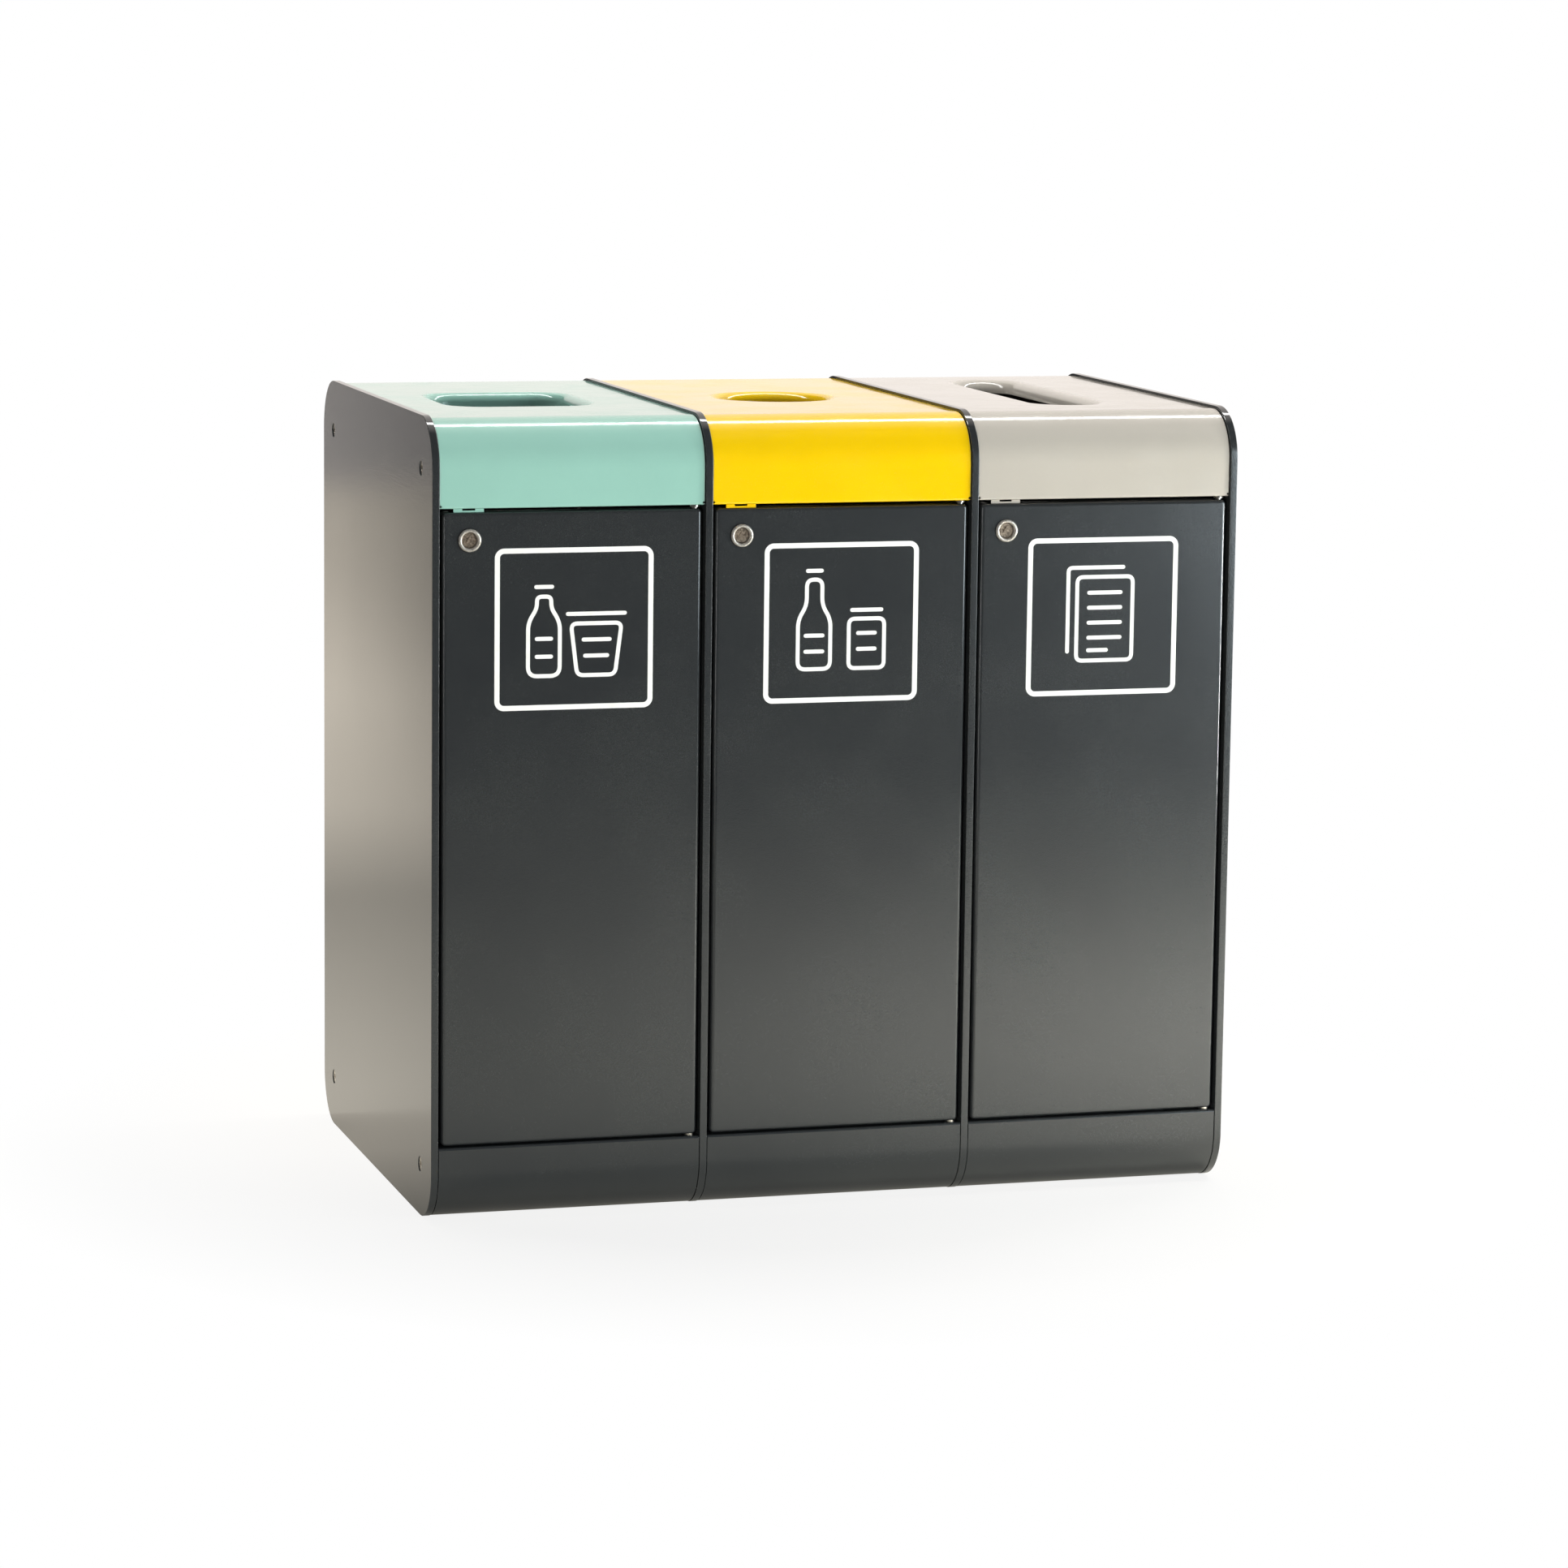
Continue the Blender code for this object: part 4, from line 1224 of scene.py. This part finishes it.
def floor_finish():
    material, wire = start_finish("studio_floor")
    shader = Wire(wire.tree, material.node_tree.nodes["Principled BSDF"].outputs[0])
    place = wire.node("ShaderNodeTexCoord", output="Object")
    away = wire.node("ShaderNodeVectorMath", {"operation": "LENGTH"}, {0: place}, output="Value")
    side = wire.node("ShaderNodeSeparateXYZ", None, {"Vector": place}, output="X")
    depth = wire.node("ShaderNodeSeparateXYZ", None, {"Vector": place}, output="Y")
    # Painted shade: the floor's colour darkens towards the front and to the left of the station.
    front_shade = ramp(wire, depth * 0.25 + 1.0, *PAINTED_SHADE_BY_DEPTH)
    side_shade = ramp(wire, side * 0.25 + 0.5, (0.30, 0.70), (0.58, 0.94), (0.68, 0.90))
    painted_floor_shade = mix(wire, front_shade * side_shade, (0, 0, 0, 1), (1.0, 0.98, 0.87, 1))
    set_shader(material, wire, {"Base Color": painted_floor_shade, "Roughness": 0.9, "Specular IOR Level": 0.1})
    behind = ramp(wire, (depth + 1.0) * 0.1, *GLOW_BY_DEPTH)
    across = side + depth * 0.21 + 1.5
    near_edge = ramp(wire, across, (0.60, 0.10), (0.80, 0.60), (1.02, 0.85))
    far_edge = ramp(wire, across, (0.84, 0.0), (1.16, 1.0))
    inside = near_edge + (far_edge - near_edge) * ramp(wire, depth * 0.1, (0.25, 0.0), (0.60, 1.0))
    seen = wire.node("ShaderNodeLightPath", output="Is Camera Ray")
    fade = ramp(wire, away * 0.5, (0.28, 0.84), (0.52, 1.0))
    warm = wire.node("ShaderNodeEmission", None, {
        "Color": (1.0, 0.90, 0.76, 1), "Strength": behind * inside * FLOOR_GLOW})
    lit = wire.node("ShaderNodeAddShader", None, {0: shader, 1: warm})
    white = wire.node("ShaderNodeEmission", None, {"Color": (1, 1, 1, 1), "Strength": 1.0})
    share = wire.node("ShaderNodeMixShader", None, {0: seen * fade, 1: lit, 2: white})
    wire.plug(material.node_tree.nodes["Material Output"], {"Surface": share})
    return material


FLOOR_LEFT, FLOOR_RIGHT, FLOOR_FRONT, FLOOR_BACK = -6.0, 3.6, -3.3, 9.0
bm = new_shape()
corners = ((FLOOR_LEFT, FLOOR_FRONT), (FLOOR_RIGHT, FLOOR_FRONT),
           (FLOOR_RIGHT, FLOOR_BACK), (FLOOR_LEFT, FLOOR_BACK))
bm.faces.new([bm.verts.new((x, y, 0.0)) for x, y in corners])
floor = solid("studio_floor", bm)
floor.data.materials.append(floor_finish())
print("floor from", corners[0], "to", corners[2])

# %% World
def surroundings():
    world = bpy.data.worlds.new("studio")
    bpy.context.scene.world = world
    world.use_nodes = True
    wire = Wire(world.node_tree)
    way = wire.node("ShaderNodeTexCoord", output="Generated")
    east, north, up = (wire.node("ShaderNodeSeparateXYZ", None, {"Vector": way}, output=axis)
                       for axis in "XYZ")
    behind = ramp(wire, north * 0.5 + 0.5, (0.46, 0.0), (0.62, 1.0))
    behind = behind * ramp(wire, up * 0.5 + 0.5, (0.42, 0.60), (0.45, 1.0))
    right_of_edge = ramp(wire, east * 0.5 + 0.5, (0.382, 0.0), (0.396, 0.25), (0.412, 1.0))
    wall = ramp(wire, north * 0.5 + 0.5, (0.30, 0.0), (0.40, 1.0))
    wall = wall * ramp(wire, up * 0.5 + 0.5, (0.40, 0.0), (0.44, 1.0), (0.62, 1.0), (0.70, 0.0))
    right_wall = wall * ramp(wire, east, (0.55, 0.0), (0.70, 1.0))
    seen, glossy, through = (wire.node("ShaderNodeLightPath", output="Is %s Ray" % kind)
                             for kind in ("Camera", "Glossy", "Transmission"))
    shown = (behind * right_of_edge + right_wall) * (0.85 + (glossy + through) * 0.15)
    tone = mix(wire, shown, (0.05, 0.053, 0.06, 1), (0.97, 0.905, 0.86, 1))
    colour = mix(wire, seen, tone, (1, 1, 1, 1))
    wire.plug(world.node_tree.nodes["Background"], {"Color": colour, "Strength": 1.0})


surroundings()
print("world", bpy.context.scene.world.name, "is white for the camera")

# %% [markdown]
# ## Lights
# Soft studio boxes: a long strip above and behind draws the line along the lids' bends, a
# large cool box at the right front lights the faces, and a narrow strip at the right draws
# the line on the doors' right folds. Three more boxes fill in the front, the floor and the
# top, and are hidden from reflections.

# %% Lights
def soft_box(name, place, target, size, watts, spread=180, tint=(1, 1, 1), mirrored=True):
    lamp = bpy.data.lights.new(name, "AREA")
    lamp.shape = "RECTANGLE"
    lamp.size, lamp.size_y = size
    lamp.energy = watts
    lamp.color = tint
    lamp.spread = math.radians(spread)
    box = bpy.data.objects.new(name, lamp)
    box.location = place
    box.visible_glossy = mirrored
    box.rotation_euler = (Vector(target) - Vector(place)).to_track_quat("-Z", "Y").to_euler()
    bpy.context.scene.collection.objects.link(box)
    print(name, "at", place)


soft_box("back_strip", (0.5, 0.45, 2.5), (0.5, 0.0, 0.9), (4.0, 0.22), 37)
soft_box("right_box", (3.1, -3.75, 1.18), (0.0, -0.3, 0.6), (2.1, 2.0), 100, 180, (0.80, 0.925, 1.0))
soft_box("edge_strip", (2.88, -1.46, 0.42), (0.0, -0.3, 0.6), (0.16, 0.6), 42)
soft_box("front_box", (-2.6, -5.2, 0.6), (0.0, -0.3, 0.6), (2.0, 1.1), 170, mirrored=False)
soft_box("floor_box", (1.5, -1.4, 2.6), (1.5, -1.4, 0.0), (1.2, 1.2), 33, 60, mirrored=False)
soft_box("top_box", (0.0, -0.2, 4.5), (0.0, 0.0, 0.5), (3.0, 3.0), 40, mirrored=False)

# %% [markdown]
# ## Camera
# The camera stands left of the middle at a little above the lids' height, far away with a
# long lens. Its turn is written as yaw, pitch and roll, and the matrix is built from the
# three directions that they give.

# %% Camera
CAMERA_PLACE = (-1.8924, -6.5545, 1.5366)
YAW, PITCH, ROLL = (math.radians(angle) for angle in (16.311, 8.744, 0.704))
ahead = Vector((math.sin(YAW) * math.cos(PITCH), math.cos(YAW) * math.cos(PITCH), -math.sin(PITCH)))
level_right = Vector((math.cos(YAW), -math.sin(YAW), 0))
level_up = level_right.cross(ahead)
right = level_right * math.cos(ROLL) + level_up * math.sin(ROLL)
up = level_up * math.cos(ROLL) - level_right * math.sin(ROLL)

lens = bpy.data.cameras.new("camera")
lens.sensor_width = 36
lens.lens = 120.886
camera = bpy.data.objects.new("camera", lens)
turn = Matrix((right, up, -ahead)).transposed().to_4x4()
camera.matrix_world = Matrix.Translation(CAMERA_PLACE) @ turn
bpy.context.scene.collection.objects.link(camera)
bpy.context.scene.camera = camera
bpy.context.scene.view_settings.view_transform = "Standard"
print("camera at", tuple(camera.location))
